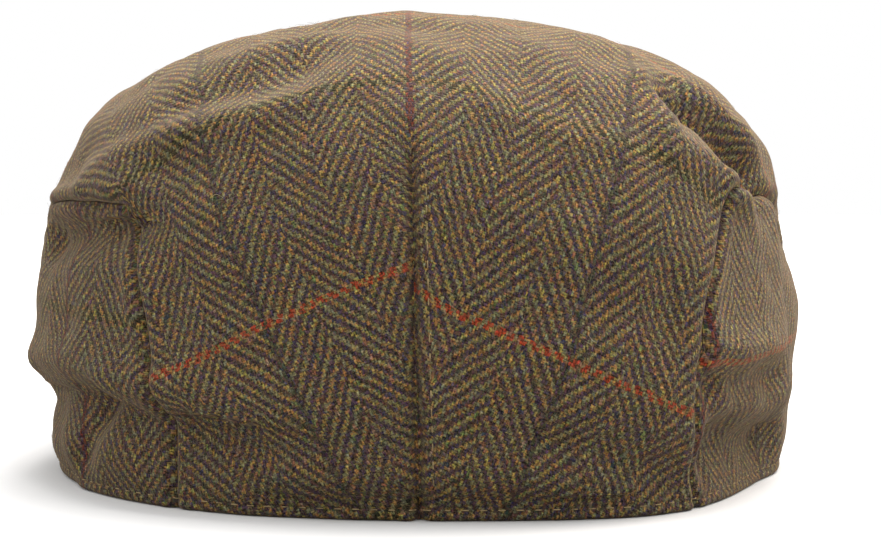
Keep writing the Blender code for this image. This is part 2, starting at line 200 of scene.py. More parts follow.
# The cloth lies flat in millimetres from the dart's apex, with the warp along +Y. It is cut flat on a
# table this much coarser than the mesh, in this many rounds. Each side of the dart leans by its angle,
# and the right side lies a little lower than the left, over this width from the middle. Below the apex
# the warp is pulled askew by this slope, over this length.
MILLIMETRES = 1000.0
COARSENESS = 4
FLATTENING_ROUNDS = 60
DART_ANGLES = (19.8, 26.0)
RIGHT_EASE = 5.0
RIGHT_EASE_WIDTH = 30.0
WARP_SKEW = 0.09
WARP_SKEW_LENGTH = 25.0

# Where the side panels' back corners lie on the check.
LEFT_CHECK = (38, -31)
RIGHT_CHECK = (4, -72)

# The check's lines, by the number of a thread. Warp lines run from back to front.
CheckLine = namedtuple("CheckLine", "name warp first repeat threads strength dye")
CHECK_LINES = (
    CheckLine("red_warp", True, first=-1, repeat=144, threads=2, strength=0.9, dye=(112, 34, 30)),
    CheckLine("green_warp", True, first=71, repeat=144, threads=2, strength=0.7, dye=(24, 52, 46)),
    CheckLine("orange_weft", False, first=-37, repeat=108, threads=2, strength=0.95, dye=(172, 54, 30)),
    CheckLine("green_weft", False, first=16, repeat=108, threads=3, strength=1.0, dye=(6, 26, 20)),
)

# How fast a yarn's dyes and its light and dark streaks follow one another, by the thread. The dyes take up
# the middle of the noise's range, and a contrast is a factor and what is added after it.
DYE_PACE = 0.28
DYE_SPAN = (0.3, 0.7)
STREAK_PACE = 1.1
STREAK_CONTRAST = (1.7, 0.15)

# Short hairs lie one way and the other, so their noise is drawn out along each. The nap's hairs bend by
# up to this many millimetres. They begin to show at the first value of their noise, and show whole at
# the second.
NAP_BEND = 5.0
NAP_STRETCHES = ((4.2, 0.6, 1.0), (0.6, 4.2, 1.0))
NAP_SPAN = (0.52, 0.68)
NAP_DYE_SPAN = (0.36, 0.64)
GRAIN_STRETCHES = ((2.6, 0.9, 1.0), (0.9, 2.6, 3.0))
GRAIN_CONTRAST = (3.4, -2.4)
GRAIN_DARKEST = 0.15

# The threads wander slowly by their looseness and fast by their hairiness, so often in a millimetre. Their
# height is a share of their spacing, and the nap's haze and painted sheen set in by a power of how edge-on
# the cloth is seen.
SLOW_WANDER = 0.16
FAST_WANDER = 1.5
BUMP_SHARE = 0.4
HAZE_AND_SHEEN_POWER = 4.0

# The dyes that follow one another along the yarns, as display colours.
LIGHT_DYES = (
    (108, 122, 70),
    (158, 144, 70),
    (168, 115, 62),
    (142, 132, 81),
    (114, 119, 96),
    (160, 142, 71),
    (157, 101, 71),
    (139, 116, 94),
)
DARK_DYES = (
    (34, 55, 76),
    (74, 47, 85),
    (65, 50, 42),
    (41, 45, 85),
    (89, 48, 51),
    (40, 65, 52),
    (84, 50, 81),
    (51, 47, 49),
)
NAP_DYES = (
    (52, 42, 40),
    (150, 136, 92),
    (92, 92, 104),
    (168, 118, 74),
    (66, 56, 50),
    (176, 160, 124),
    (126, 74, 58),
    (120, 124, 84),
)
WHITE = (1.0, 1.0, 1.0, 1.0)
# The lighter colour that the nap's haze and a painted sheen mix in where the cloth is seen edge-on.
HAZE_AND_SHEEN_DYE = (160, 138, 112)
THREAD_DYE = (170, 148, 108)
WOOL_DYE = (150, 130, 104)
LONG_WOOL_DYE = (196, 182, 150)

# How often a thread's colour changes in a metre, and how far.
THREAD_SPOTS = 900.0
THREAD_DARKEST = 0.8
THREAD_LIGHTEST = 1.15

# The stitches' shape over and into the cloth. The dart's row runs between two shares of the top's length,
# a little to the right of its middle.
STITCH_POINTS = 7
STITCH_SUNK = 0.0007
STITCH_PROUD = 0.00016
STITCH_FULLNESS = 0.6
HEM_LINE_POINTS = 1200
DART_LINE_POINTS = 240
DART_ROW = (0.012, DART_END * 0.86)
DART_BESIDE = np.linspace(0.5, 0.53, 13)

# Stray fibres over the whole crown, and a few long pale ones on its back. A fibre stands up by a share,
# has a share of the longest one's length, curls to a side and droops. The powers make the low shares
# more common.
WOOL_SEED = 7
WOOL_POINTS = 5
WOOL_ROOT = 0.0002
WOOL_RISES = (0.03, 0.99)
WOOL_STAND = (0.12, 0.85)
WOOL_STAND_POWER = 1.6
WOOL_SIZES = (0.35, 1.0)
WOOL_SIZE_POWER = 1.5
WOOL_CURL = 0.45
WOOL_DROOP = 0.5
LONG_WOOL_POINTS = 9
LONG_WOOL_STOUTNESS = 1.5
LONG_WOOL_REST = 0.0003
LONG_WOOL_ARCH = 0.0012
LongWool = namedtuple("LongWool", "azimuth height length heading curl")
LONG_WOOL = (
    LongWool(azimuth=-28, height=0.63, length=0.004, heading=60, curl=-150),
    LongWool(azimuth=-17, height=0.40, length=0.003, heading=30, curl=-60),
    LongWool(azimuth=-15, height=0.44, length=0.0025, heading=80, curl=60),
    LongWool(azimuth=17, height=0.66, length=0.003, heading=-60, curl=30),
    LongWool(azimuth=23, height=0.36, length=0.004, heading=-20, curl=120),
    LongWool(azimuth=22, height=0.34, length=0.003, heading=100, curl=-80),
)

# The stage and the camera, which stands where the photograph's did.
FLOOR_RADIUS = 1.0
FLOOR_SIDES = 96
FLOOR_CLEARANCE = 0.0001
SKY_TOP = 0.9
LAMP_AIM = (0.0, 0.0, 0.06)
Lamp = namedtuple("Lamp", "name place size share colour")
LAMPS = (
    Lamp("top_lamp", place=(0.2, 0.3, 1.1), size=0.9, share=1.0, colour=(1.0, 0.97, 0.94)),
    Lamp("side_lamp", place=(0.9, 0.35, 0.9), size=0.6, share=0.3, colour=(1.0, 0.88, 0.76)),
)
SENSOR = 36.0
PHOTO_WIDTH = 881
FOCAL_PIXELS = 2877
CENTRE_PIXEL = 416
CAMERA_AWAY = 0.744
CAMERA_HEIGHT = 0.112
CAMERA_PITCH = 4.839

# From the middle of the head opening to the middle of the whole cap's underside.
PEAK_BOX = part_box("peak")
FRONT_REACH = OPENING_LENGTH / 2 + PEAK_REACH
PLACE = np.array(((PEAK_BOX[0][0] + PEAK_BOX[1][0]) / 2, PEAK_BOX[1][1] - FRONT_REACH, 0.0))


def mixed(first, second, share):
    return first + (second - first) * share


def blend(share):
    """Runs smoothly from 0 at 0 or less to 1 at 1 or more."""
    share = np.clip(share, 0.0, 1.0)
    return share * share * (3 - 2 * share)


def dot(first, second):
    return np.sum(first * second, axis=-1)


def length(vectors):
    return np.sqrt(dot(vectors, vectors))


def tall(values):
    """Values as a column, to multiply vectors by."""
    return np.asarray(values)[..., None]


def unit(vectors):
    return vectors / np.maximum(tall(length(vectors)), 1e-12)


def level(azimuth):
    """The level unit vector at each azimuth."""
    angle = np.radians(azimuth)
    return np.stack((np.sin(angle), -np.cos(angle), 0 * angle), axis=-1)


def upward(height):
    height = np.asarray(height)
    return np.stack((0 * height, 0 * height, height), axis=-1)


def hem_reach(azimuth):
    """How far the opening's edge is from its centre."""
    across, along, _ = np.moveaxis(level(azimuth), -1, 0)
    oval = 1 / np.hypot(across / (OPENING_WIDTH / 2), along / (OPENING_LENGTH / 2))
    return oval + CORNER_SWELL * np.exp(-(((azimuth - CORNER_AZIMUTH) / CORNER_SPREAD) ** 2))


def forward_share(azimuth):
    """0 from the peak's corners backwards, 1 at the centre front."""
    share = (np.abs(azimuth) - PEAK_CORNER) / (180 - PEAK_CORNER)
    return np.sin(math.pi / 2 * np.clip(share, 0.0, 1.0))


def rim_reach(azimuth):
    """How far the peak's rim is from the opening's centre."""
    return hem_reach(azimuth) + mixed(PEAK_LIP, PEAK_REACH, forward_share(azimuth) ** PEAK_CRESCENT)


def crown_reach(azimuth):
    """How far the crown's lower edge is from the opening's centre."""
    return hem_reach(azimuth) + (PEAK_REACH - PEAK_MARGIN) * forward_share(azimuth) ** PEAK_CRESCENT


def peak_underside(azimuth, share):
    """Points under the peak, from share 0 at the opening to 1 at the rim."""
    reach = mixed(hem_reach(azimuth), rim_reach(azimuth), share)
    lift = mixed(PEAK_FRONT_LIFT, PEAK_RIM_LIFT, share) + PEAK_CAMBER * 4 * share * (1 - share)
    return level(azimuth) * tall(reach) + upward(lift * forward_share(azimuth) ** 2)


def crown_base(azimuth):
    """Points of the crown's lower edge: on the floor, or level with the peak's underside."""
    hem = hem_reach(azimuth)
    return peak_underside(azimuth, (crown_reach(azimuth) - hem) / (rim_reach(azimuth) - hem))


def section_at(azimuth):
    """The shoulder power and the belly, eased between the rows of SECTIONS."""
    azimuth = (np.asarray(azimuth, dtype=float) + 180) % 360 - 180
    places = np.array([section.azimuth for section in SECTIONS])
    row = np.clip(np.searchsorted(places, azimuth, side="right") - 1, 0, len(places) - 2)
    share = blend((azimuth - places[row]) / (places[row + 1] - places[row]))
    shoulders = np.array([section.shoulder for section in SECTIONS])
    bellies = np.array([section.belly for section in SECTIONS])
    return mixed(shoulders[row], shoulders[row + 1], share), mixed(bellies[row], bellies[row + 1], share)


def rise_at(azimuth, height):
    """The rise, from 0 at the base to 1 at the crest, where a section reaches a share of its height."""
    shoulder, _ = section_at(azimuth)
    out = (1 - height**shoulder) ** (1 / CREST_ROUNDNESS)
    return np.arctan2(height, out) / (math.pi / 2)


def section_shares(azimuth, rise):
    """How far out and up a section's curve, out^roundness + up^shoulder = 1, is at a rise."""
    shoulder, belly = section_at(azimuth)
    cosine, sine = np.cos(rise * math.pi / 2), np.sin(rise * math.pi / 2)
    cosine = np.maximum(cosine, 0.0)
    low, high = 0 * cosine, 0 * cosine + WIDEST_SECTION
    for _ in range(HALVINGS):
        size = (low + high) / 2
        outside = (size * cosine) ** CREST_ROUNDNESS + (size * sine) ** shoulder > 1
        low, high = np.where(outside, low, size), np.where(outside, size, high)
    out, up = size * cosine, np.minimum(size * sine, 1.0)
    swollen = np.sin(math.pi * up ** (math.log(0.5) / math.log(BELLY_HEIGHT))) ** 2
    return out * (1 + belly * swollen), up


def polar(disc):
    """The azimuth and the rise of points of the disc."""
    radius = np.minimum(np.hypot(disc[..., 0], disc[..., 1]), 1.0)
    return np.degrees(np.arctan2(disc[..., 0], -disc[..., 1])), 1 - radius


def on_disc(azimuth, rise):
    return level(azimuth)[..., :2] * tall(1 - rise)


def smooth_crown(disc):
    """The crown's outer face without its folds, over points of the disc."""
    azimuth, rise = polar(disc)
    base = crown_base(azimuth)
    crest = np.array((CREST_SIDESTEP, -CREST_SETBACK, CROWN_HEIGHT))
    out, up = section_shares(azimuth, rise)
    return crest + (base - crest) * np.stack((out, out, 1 - up), axis=-1)


def turned_out(normals, points):
    """Normals at points of the crown, turned to look out of it."""
    return np.where(tall(dot(normals, points - HEART) < 0), -normals, normals)


def facing(surface, disc):
    """The outward direction of a surface, from short steps inwards and sideways over the disc."""
    centred = tall(np.hypot(disc[..., 0], disc[..., 1]) < 10 * DISC_STEP)
    inward = np.where(centred, (0.0, 1.0), -unit(disc))
    sideways = np.stack((-inward[..., 1], inward[..., 0]), axis=-1)
    here = surface(disc)
    along = surface(disc + sideways * DISC_STEP) - surface(disc - sideways * DISC_STEP)
    return turned_out(unit(np.cross(surface(disc + inward * DISC_STEP) - here, along)), here)


def along_path(points, path):
    """The vectors to points from their nearest points of a path, and how far along those are."""
    gaps, places = [], []
    for leg, (start, end) in enumerate(zip(path, path[1:])):
        run = end - start
        share = np.clip(dot(points - start, run) / dot(run, run), 0.0, 1.0)
        gaps.append(points - start - run * tall(share))
        places.append((leg + share) / (len(path) - 1))
    nearest = np.argmin([dot(gap, gap) for gap in gaps], axis=0)[None]
    gap = np.take_along_axis(np.array(gaps), nearest[..., None], axis=0)[0]
    return gap, np.take_along_axis(np.array(places), nearest, axis=0)[0]


def fold_height(points):
    """How far all the folds together move points of the crown outwards."""
    moved = 0.0
    for fold in FOLDS:
        azimuths, heights = np.array(fold.path, dtype=float).T
        gap, place = along_path(points, smooth_crown(on_disc(azimuths, rise_at(azimuths, heights))))
        across = length(gap) / (fold.half_width * CROWN_HEIGHT)
        above = np.where(gap[..., 2] > 0, across, -across)
        fade = blend(place / FOLD_FADE) * blend((1 - place) / FOLD_FADE)
        shape = fold.depth * np.exp(-(across**2)) + fold.step * above * np.exp((1 - across**2) / 2)
        moved = moved + fade * CROWN_HEIGHT * shape
    return moved


def crown(disc):
    """The crown's outer face, with its folds, over points of the disc."""
    points = smooth_crown(disc)
    normals = facing(smooth_crown, disc)
    normals[..., 2] *= blend(points[..., 2] / HEM_HEIGHT)
    return points + unit(normals) * tall(fold_height(points))


def seam_spots(seam, share):
    """The disc points of a seam at shares from 0 at the hem to 1 at the peak."""
    tail = np.clip(share / TAIL_SHARE, 0.0, 1.0)
    side = np.clip((share - TAIL_SHARE) / (1 - TAIL_SHARE), 0.0, 1.0)
    falling = mixed(seam.corner_height, CLEAR_OF_PEAK / CROWN_HEIGHT, side**seam.fall)
    height = np.where(share <= TAIL_SHARE, seam.corner_height * tail, falling)
    leaning = mixed(seam.hem_azimuth, seam.corner_azimuth, tail**seam.lean)
    azimuth = mixed(leaning - seam.sag * np.sin(math.pi * tail), PEAK_CORNER, side)
    return on_disc(seam.side * azimuth, rise_at(seam.side * azimuth, height))


def back_hem_spots(share):
    """The disc points of the top's back hem, with the dart's foot in the middle."""
    even = mixed(-LEFT_SEAM.hem_azimuth, RIGHT_SEAM.hem_azimuth, share)
    turn = DART_AZIMUTH - (RIGHT_SEAM.hem_azimuth - LEFT_SEAM.hem_azimuth) / 2
    return on_disc(even + turn * 4 * share * (1 - share), 0 * share)


def front_edge_spots(share):
    """The disc points where the top just clears the peak, from its left corner to its right one."""
    azimuth = mixed(-PEAK_CORNER, PEAK_CORNER - 360, share)
    azimuth = np.where(azimuth < -180, azimuth + 360, azimuth)
    base, hem, rim = crown_base(azimuth)[..., 2], hem_reach(azimuth), rim_reach(azimuth)
    peak_top = base
    for _ in range(EDGE_ROUNDS):
        height = (peak_top - base + CLEAR_OF_PEAK) / (CROWN_HEIGHT - base)
        spots = on_disc(azimuth, rise_at(azimuth, height))
        edge = smooth_crown(spots)
        reach = np.hypot(edge[..., 0], edge[..., 1])
        peak_top = peak_underside(azimuth, (reach - hem) / (rim - hem))[..., 2]
    return spots


def between_edges(left, right, near, far, across, along):
    """Disc points between four edges, each a function of the share along it."""
    start, end = 0 * across, 0 * across + 1
    sides = mixed(left(along), right(along), tall(across))
    ends = mixed(near(across), far(across), tall(along))
    near_line = mixed(left(start), right(start), tall(across))
    far_line = mixed(left(end), right(end), tall(across))
    return sides + ends - mixed(near_line, far_line, tall(along))


def top_spots(across, along):
    """Disc points of the top: across from the left seam to the right, along from the hem to the front.

    Its middle line runs from the dart's foot to the centre front, a little to the left on the way.
    """
    left = lambda share: seam_spots(LEFT_SEAM, share)
    right = lambda share: seam_spots(RIGHT_SEAM, share)
    spots = between_edges(left, right, back_hem_spots, front_edge_spots, across, along)
    middle = between_edges(left, right, back_hem_spots, front_edge_spots, 0 * across + 0.5, along)
    straight = mixed(math.sin(math.radians(DART_AZIMUTH)), 0.0, along)
    straight = straight + DART_SHIFT * np.sin(math.pi * np.clip(along / DART_SHIFT_END, 0, 1))
    spots[..., 0] += (straight - middle[..., 0]) * 4 * across * (1 - across)
    return spots


def side_spots(seam, across, along):
    """Disc points of a side panel: across from its back seam to the peak, along from the hem up."""
    corner = seam.side * PEAK_CORNER
    foot = rise_at(corner, CLEAR_OF_PEAK / CROWN_HEIGHT)
    back = lambda share: seam_spots(seam, share * TAIL_SHARE)
    front = lambda share: on_disc(corner + 0 * share, foot * share)
    hem = lambda share: on_disc(seam.side * mixed(seam.hem_azimuth, PEAK_CORNER, share), 0 * share)
    upper = lambda share: seam_spots(seam, mixed(TAIL_SHARE, 1, share))
    return between_edges(back, front, hem, upper, across, along)


def spread(count):
    """Shares from 0 to 1, closer together at both ends."""
    even = np.linspace(0, 1, count + 1)
    return even - EDGE_CLOSENESS * np.sin(2 * math.pi * even) / (2 * math.pi)


def spread_about_middle(count):
    """Shares from 0 to 1, closer together at both ends and in the middle."""
    half = spread(count // 2) / 2
    return np.concatenate((half, 0.5 + half[1:]))


def finer(values, factor):
    """A table with more rows, by smooth curves through its own rows."""
    slopes = np.gradient(values, axis=0)
    place = np.linspace(0, len(values) - 1, (len(values) - 1) * factor + 1)
    row = np.minimum(place.astype(int), len(values) - 2)
    share = (place - row).reshape((-1,) + (1,) * (values.ndim - 1))
    start, end = values[row], values[row + 1]
    bend = share * (1 - share) * ((1 - share) * slopes[row] - share * slopes[row + 1])
    return mixed(start, end, blend(share)) + bend


def run_lengths(points, axis):
    """The length along each line of a table of points, from its start."""
    steps = length(np.diff(points, axis=axis))
    total = np.cumsum(steps, axis=axis)
    return np.concatenate((np.zeros_like(np.take(total, [0], axis=axis)), total), axis=axis)


def hump(distance, width):
    return np.exp(-((distance / width) ** 2))


def seam_sink(distance, depth=SEAM_DEPTH, width=SEAM_WIDTH):
    """How far the cloth sinks and fills out at a distance from a seam."""
    return SEAM_PUFF * hump(distance - PUFF_AWAY, PUFF_WIDTH) - depth * hump(distance, width)


def unevenness(points):
    """The cloth's own small waves, which the hem flattens."""
    flat = points.reshape(-1, 3)
    wide = np.array([noise.noise(Vector(point) * WAVE_WIDE) for point in flat])
    narrow = np.array([noise.noise(Vector(point) * WAVE_NARROW) for point in flat])
    waves = (wide * WAVE_WIDE_DEPTH + narrow * WAVE_NARROW_DEPTH).reshape(points.shape[:-1])
    return waves * blend(points[..., 2] / HEM_HEIGHT)


def outward(disc, points):
    """The way out through a table of points of the crown: level at the hem, along the peak at the front."""
    azimuth, _ = polar(disc)
    normal = turned_out(unit(np.cross(np.gradient(points, axis=1), np.gradient(points, axis=0))), points)
    near, far = PEAK_SLOPE_SHARES
    edge = unit(peak_underside(azimuth, far) - peak_underside(azimuth, near))
    above = points[..., 2] - crown_base(azimuth)[..., 2]
    return unit(mixed(edge, normal, tall(blend(above / HEM_HEIGHT - 1))))


def hem_turn(above):
    """How far the turned hem draws in at a height above its edge, and its row of stitches with it."""
    under = np.clip(HEM_ROUNDING - above, 0, HEM_ROUNDING)
    rounding = HEM_ROUNDING - np.sqrt(HEM_ROUNDING**2 - under**2)
    return -rounding - STITCH_DENT * hump(above - HEM_STITCH_HEIGHT, STITCH_DENT_WIDTH)


def draw_back(points, axis, end):
    """Draws one edge of a table of points back by half the gap that a seam leaves."""
    turned = np.moveaxis(points, axis, 0)
    row, beside = (0, 1) if end == 0 else (-1, -2)
    turned[row] += unit(turned[beside] - turned[row]) * SEAM_GAP / 2


def mesh_of(name, shape):
    """The mesh of a finished shape."""
    mesh = bpy.data.meshes.new(name)
    shape.to_mesh(mesh)
    shape.free()
    return mesh


def in_scene(name, data):
    """A new object in the scene, at its origin."""
    item = bpy.data.objects.new(name, data)
    bpy.context.scene.collection.objects.link(item)
    return item


def values_of(items, attribute):
    """A whole-number attribute of every item."""
    values = np.empty(len(items), dtype=int)
    items.foreach_get(attribute, values)
    return values


def cloth_grid(rows, columns, lined):
    """A grid of faces, with a second layer if it is lined, and each point's layer, row and column."""
    shape = bmesh.new()
    bmesh.ops.create_grid(shape, x_segments=columns, y_segments=rows, size=0.5)
    if lined:
        under = bmesh.ops.extrude_face_region(shape, geom=shape.faces[:])["geom"]
        under = [item for item in under if isinstance(item, bmesh.types.BMVert)]
        bmesh.ops.translate(shape, vec=(0.0, 0.0, 1.0), verts=under)
    places = np.array([vertex.co for vertex in shape.verts])
    row = np.round((places[:, 1] + 0.5) * rows).astype(int)
    column = np.round((places[:, 0] + 0.5) * columns).astype(int)
    return shape, np.round(places[:, 2]).astype(int), row, column


def sewn_sheet(name, faces, cloth, material):
    """A closed sheet of cloth through its two faces, with the cloth's own coordinates in millimetres.

    The cloth's table has a layer for each side of the middle, because a dart parts it there.
    """
    rows, columns = faces[0].shape[0] - 1, faces[0].shape[1] - 1
    shape, inside, row, column = cloth_grid(rows, columns, True)
    for vertex, point in zip(shape.verts, np.stack(faces)[inside, row, column]):
        vertex.co = point
    bmesh.ops.recalc_face_normals(shape, faces=shape.faces[:])
    if shape.calc_volume(signed=True) < 0:
        bmesh.ops.reverse_faces(shape, faces=shape.faces[:])
    mesh = mesh_of(name, shape)
    mesh.shade_smooth()
    mesh.set_sharp_from_angle(angle=math.radians(SHARP_ANGLE))
    corners = values_of(mesh.loops, "vertex_index")
    totals = values_of(mesh.polygons, "loop_total")
    middle = np.add.reduceat(column[corners], values_of(mesh.polygons, "loop_start")) / totals
    side = np.repeat((middle > columns / 2).astype(int), totals)
    layer = mesh.uv_layers.new(name="cloth")
    layer.data.foreach_set("uv", cloth[side, row[corners], column[corners]].astype(np.float32).ravel())
    mesh.materials.append(material)
    return in_scene(name, mesh)


def sewn_cloth(name, spots, points, lift, seams, cloth, material):
    """A sheet of the crown's cloth, drawn back from its seams, each an axis and an end of its table."""
    direction = outward(spots, points)
    for axis, end in seams:
        draw_back(points, axis, end)
    outer = points + direction * tall(lift)
    inner = points - direction * tall(CLOTH_THICKNESS + np.clip(-lift, 0, SEAM_GIVE))
    return sewn_sheet(name, (outer + PLACE, inner + PLACE), cloth, material)


def cut_flat(points, slit):
    """Lays a table of points out flat, as the cloth was cut, in millimetres and still unturned.

    The slit is the row up to which the middle column is cut open. The result has a layer for each side.
    """
    rows, columns = points.shape[0] - 1, points.shape[1] - 1
    shape, _, row, column = cloth_grid(rows, columns, False)
    for vertex, point in zip(shape.verts, points[row, column]):
        vertex.co = point * MILLIMETRES
    for edge in shape.edges:
        ends = [vertex.index for vertex in edge.verts]
        edge.seam = bool(np.all(column[ends] == columns // 2) and np.all(row[ends] <= slit))
    mesh = mesh_of("cut_cloth", shape)
    paper = in_scene("cut_cloth", mesh)
    mesh.uv_layers.new(name="cut")
    bpy.ops.object.select_all(action="DESELECT")
    bpy.context.view_layer.objects.active = paper
    paper.select_set(True)
    bpy.ops.object.mode_set(mode="EDIT")
    bpy.ops.mesh.select_all(action="SELECT")
    bpy.ops.uv.unwrap(method="MINIMUM_STRETCH", iterations=FLATTENING_ROUNDS, margin=0.0)
    bpy.ops.object.mode_set(mode="OBJECT")
    cut = np.empty(len(mesh.loops) * 2)
    mesh.uv_layers["cut"].data.foreach_get("uv", cut)
    cut = cut.reshape(-1, 2)
    flat = np.full((2, rows + 1, columns + 1, 2), np.nan)
    for face in mesh.polygons:
        corners = list(face.vertices)
        side = int(np.mean(column[corners]) > columns / 2)
        flat[side, row[corners], column[corners]] = cut[list(face.loop_indices)]
    flat = np.where(np.isnan(flat), flat[::-1], flat)
    bpy.data.meshes.remove(mesh)
    real = length(np.diff(points, axis=0)).sum() * MILLIMETRES
    laid = length(np.diff(flat[0, :, : columns // 2 + 1], axis=0)).sum()
    laid += length(np.diff(flat[1, :, columns // 2 + 1 :], axis=0)).sum()
    return flat * real / laid


def turned_cloth(flat, origin, upright):
    """Flat cloth with a point as its origin, turned so that a direction on it runs along the warp."""
    angle = math.atan2(upright[0], upright[1])
    cosine, sine = math.cos(angle), math.sin(angle)
    return (flat - origin) @ np.array(((cosine, sine), (-sine, cosine)))


def close_dart(flat, angles):
    """Turns the cloth about the dart's apex until each side of the dart leans by its angle.

    Wool is shrunk and stretched to its shape by steam, so a real dart is narrower than the flat one.
    """
    middle = flat.shape[2] // 2
    reach = length(flat)
    bearing = np.degrees(np.arctan2(flat[..., 0], flat[..., 1]))
    left = (180 - angles[0]) / abs(bearing[0, 0, middle])
    right = (180 - angles[1]) / abs(bearing[1, 0, middle])
    bearing = np.radians(bearing * np.where(bearing < 0, left, right))
    turned = np.stack((reach * np.sin(bearing), reach * np.cos(bearing)), axis=-1)
    turned[..., 1] += RIGHT_EASE * blend(turned[..., 0] / RIGHT_EASE_WIDTH)
    turned[..., 0] += WARP_SKEW * turned[..., 1] * blend(-turned[..., 1] / WARP_SKEW_LENGTH)
    return turned


def finer_cloth(flat):
    """A cloth's coordinates at every point of its mesh, from those of the coarse table."""
    layers = []
    for layer in flat:
        rows = finer(layer, COARSENESS)
        middle = layer.shape[1] // 2
        parts = [rows[:, : middle + 1], rows[:, middle:]]
        parts = [np.swapaxes(finer(np.swapaxes(part, 0, 1), COARSENESS), 0, 1) for part in parts]
        layers.append(np.concatenate((parts[0], parts[1][:, 1:]), axis=1))
    return np.array(layers)


def top_cloth(material):
    """The one-piece top, with its dart, its seams and its turned hem."""
    columns, rows = TOP_CELLS
    across, along = np.meshgrid(spread_about_middle(columns), spread(rows))
    spots = top_spots(across, along)
    points = crown(spots)
    middle = columns // 2
    apex = int(np.argmin(np.abs(along[:, 0] - DART_END)) // COARSENESS * COARSENESS)
    flat = cut_flat(points[::COARSENESS, ::COARSENESS], apex // COARSENESS)
    middle_line = flat[0, :, middle // COARSENESS]
    tip = middle_line[apex // COARSENESS]
    cloth = finer_cloth(close_dart(turned_cloth(flat, tip, middle_line[-1] - tip), DART_ANGLES))
    from_left = run_lengths(points, 1)
    to_right = from_left[:, -1:] - from_left
    from_dart = from_left - from_left[:, middle : middle + 1]
    up = run_lengths(points, 0)
    below_apex = up[apex, middle] - up[:, middle : middle + 1]
    dart = blend(below_apex / DART_APEX_FADE)
    stitched = STITCH_DENT * hump(from_dart - DART_STITCH_AWAY, STITCH_DENT_WIDTH)
    lift = unevenness(points)
    lift += seam_sink(from_left) + seam_sink(to_right) + hem_turn(up)
    lift += dart * (seam_sink(np.abs(from_dart), DART_DEPTH, DART_WIDTH) - stitched)
    return sewn_cloth("top_cloth", spots, points, lift, ((1, 0), (1, -1)), cloth, material)


def side_cloth(name, seam, check_place, material):
    """A side panel, from its seam with the top's tail to the peak's corner."""
    columns, rows = SIDE_CELLS
    across, along = np.meshgrid(spread(columns), spread(rows))
    spots = side_spots(seam, across, along)
    points = crown(spots)
    flat = cut_flat(points[::COARSENESS, ::COARSENESS], -1)
    hem_run = flat[0, 0, -1] - flat[0, 0, 0]
    flat = turned_cloth(flat, flat[0, 0, 0], (-hem_run[1], hem_run[0])) * (seam.side, 1)
    cloth = finer_cloth(flat + np.array(check_place))
    from_back = run_lengths(points, 1)
    up = run_lengths(points, 0)
    lift = unevenness(points)
    lift += seam_sink(from_back) + seam_sink(up[-1:] - up) + hem_turn(up)
    return sewn_cloth(name, spots, points, lift, ((1, 0), (1, -1), (0, -1)), cloth, material)


def peak_cloth(material):
    """The stiff peak under the crown's front edge, with its rim rounded over."""
    columns, rows = PEAK_CELLS
    start = PEAK_CORNER + math.degrees(SEAM_GAP / (OPENING_WIDTH / 2))
    across, along = np.meshgrid(np.linspace(start, 360 - start, columns + 1), spread(rows))
    azimuth = np.where(across > 180, across - 360, across)
    under = peak_underside(azimuth, along)
    from_hem = run_lengths(under, 0)
    half = PEAK_THICKNESS / 2
    inset = np.clip(half - (from_hem[-1:] - from_hem), 0, PEAK_RIM_ROUNDNESS * half)
    thick = np.sqrt(half**2 - inset**2)
    centre = under + upward(0 * along + half) + PLACE
    cloth = np.repeat((under[..., :2] * MILLIMETRES)[None], 2, axis=0)
    return sewn_sheet("peak_cloth", (centre + upward(thick), centre - upward(thick)), cloth, material)


def threads(name, paths, radius, material, roundness=0):
    """One object of many short threads, each a path of points."""
    curve = bpy.data.curves.new(name, "CURVE")
    curve.dimensions = "3D"
    curve.bevel_depth = radius
    curve.bevel_resolution = roundness
    curve.use_fill_caps = True
    for path in paths:
        spline = curve.splines.new("POLY")
        spline.points.add(len(path) - 1)
        spline.points.foreach_set("co", np.insert(path, 3, 1.0, axis=1).ravel())
    curve.materials.append(material)
    return in_scene(name, curve)


def stitches_along(line, outside, sizes):
    """The paths of a row of stitches over a line of points, each dipping into the cloth at its ends."""
    runs = run_lengths(line[None], 1)[0]
    starts = np.arange(sizes.pitch / 2, runs[-1] - sizes.pitch, sizes.pitch)
    share = np.linspace(0, 1, STITCH_POINTS)
    places = starts[:, None] + sizes.length * share
    rise = mixed(-STITCH_SUNK, STITCH_PROUD, np.sin(math.pi * share) ** STITCH_FULLNESS)

    def sampled(vectors):
        return np.stack([np.interp(places, runs, values) for values in vectors.T], axis=-1)

    return sampled(line) + unit(sampled(outside)) * tall(rise) + PLACE


def hem_line():
    """The hem's row of stitches, from one corner of the peak round the back to the other."""
    azimuth = np.linspace(-PEAK_CORNER + 1, PEAK_CORNER - 1, HEM_LINE_POINTS)
    points = crown(on_disc(azimuth, rise_at(azimuth, HEM_STITCH_HEIGHT / CROWN_HEIGHT)))
    out = level(azimuth)
    return points + out * tall(unevenness(points) - STITCH_DENT), out


def dart_line():
    """The row of stitches beside the dart, from the hem up to a little below its apex."""
    share = np.linspace(*DART_ROW, DART_LINE_POINTS)
    across, along = np.meshgrid(DART_BESIDE, share)
    runs = run_lengths(crown(top_spots(across, along)), 1)
    beside = np.array([np.interp(DART_STITCH_AWAY, run, row) for run, row in zip(runs, across)])
    spots = top_spots(beside, share)
    points = crown(spots)
    out = facing(crown, spots)
    lift = unevenness(points) + seam_sink(DART_STITCH_AWAY, DART_DEPTH, DART_WIDTH) - STITCH_DENT
    return points + out * tall(lift), out


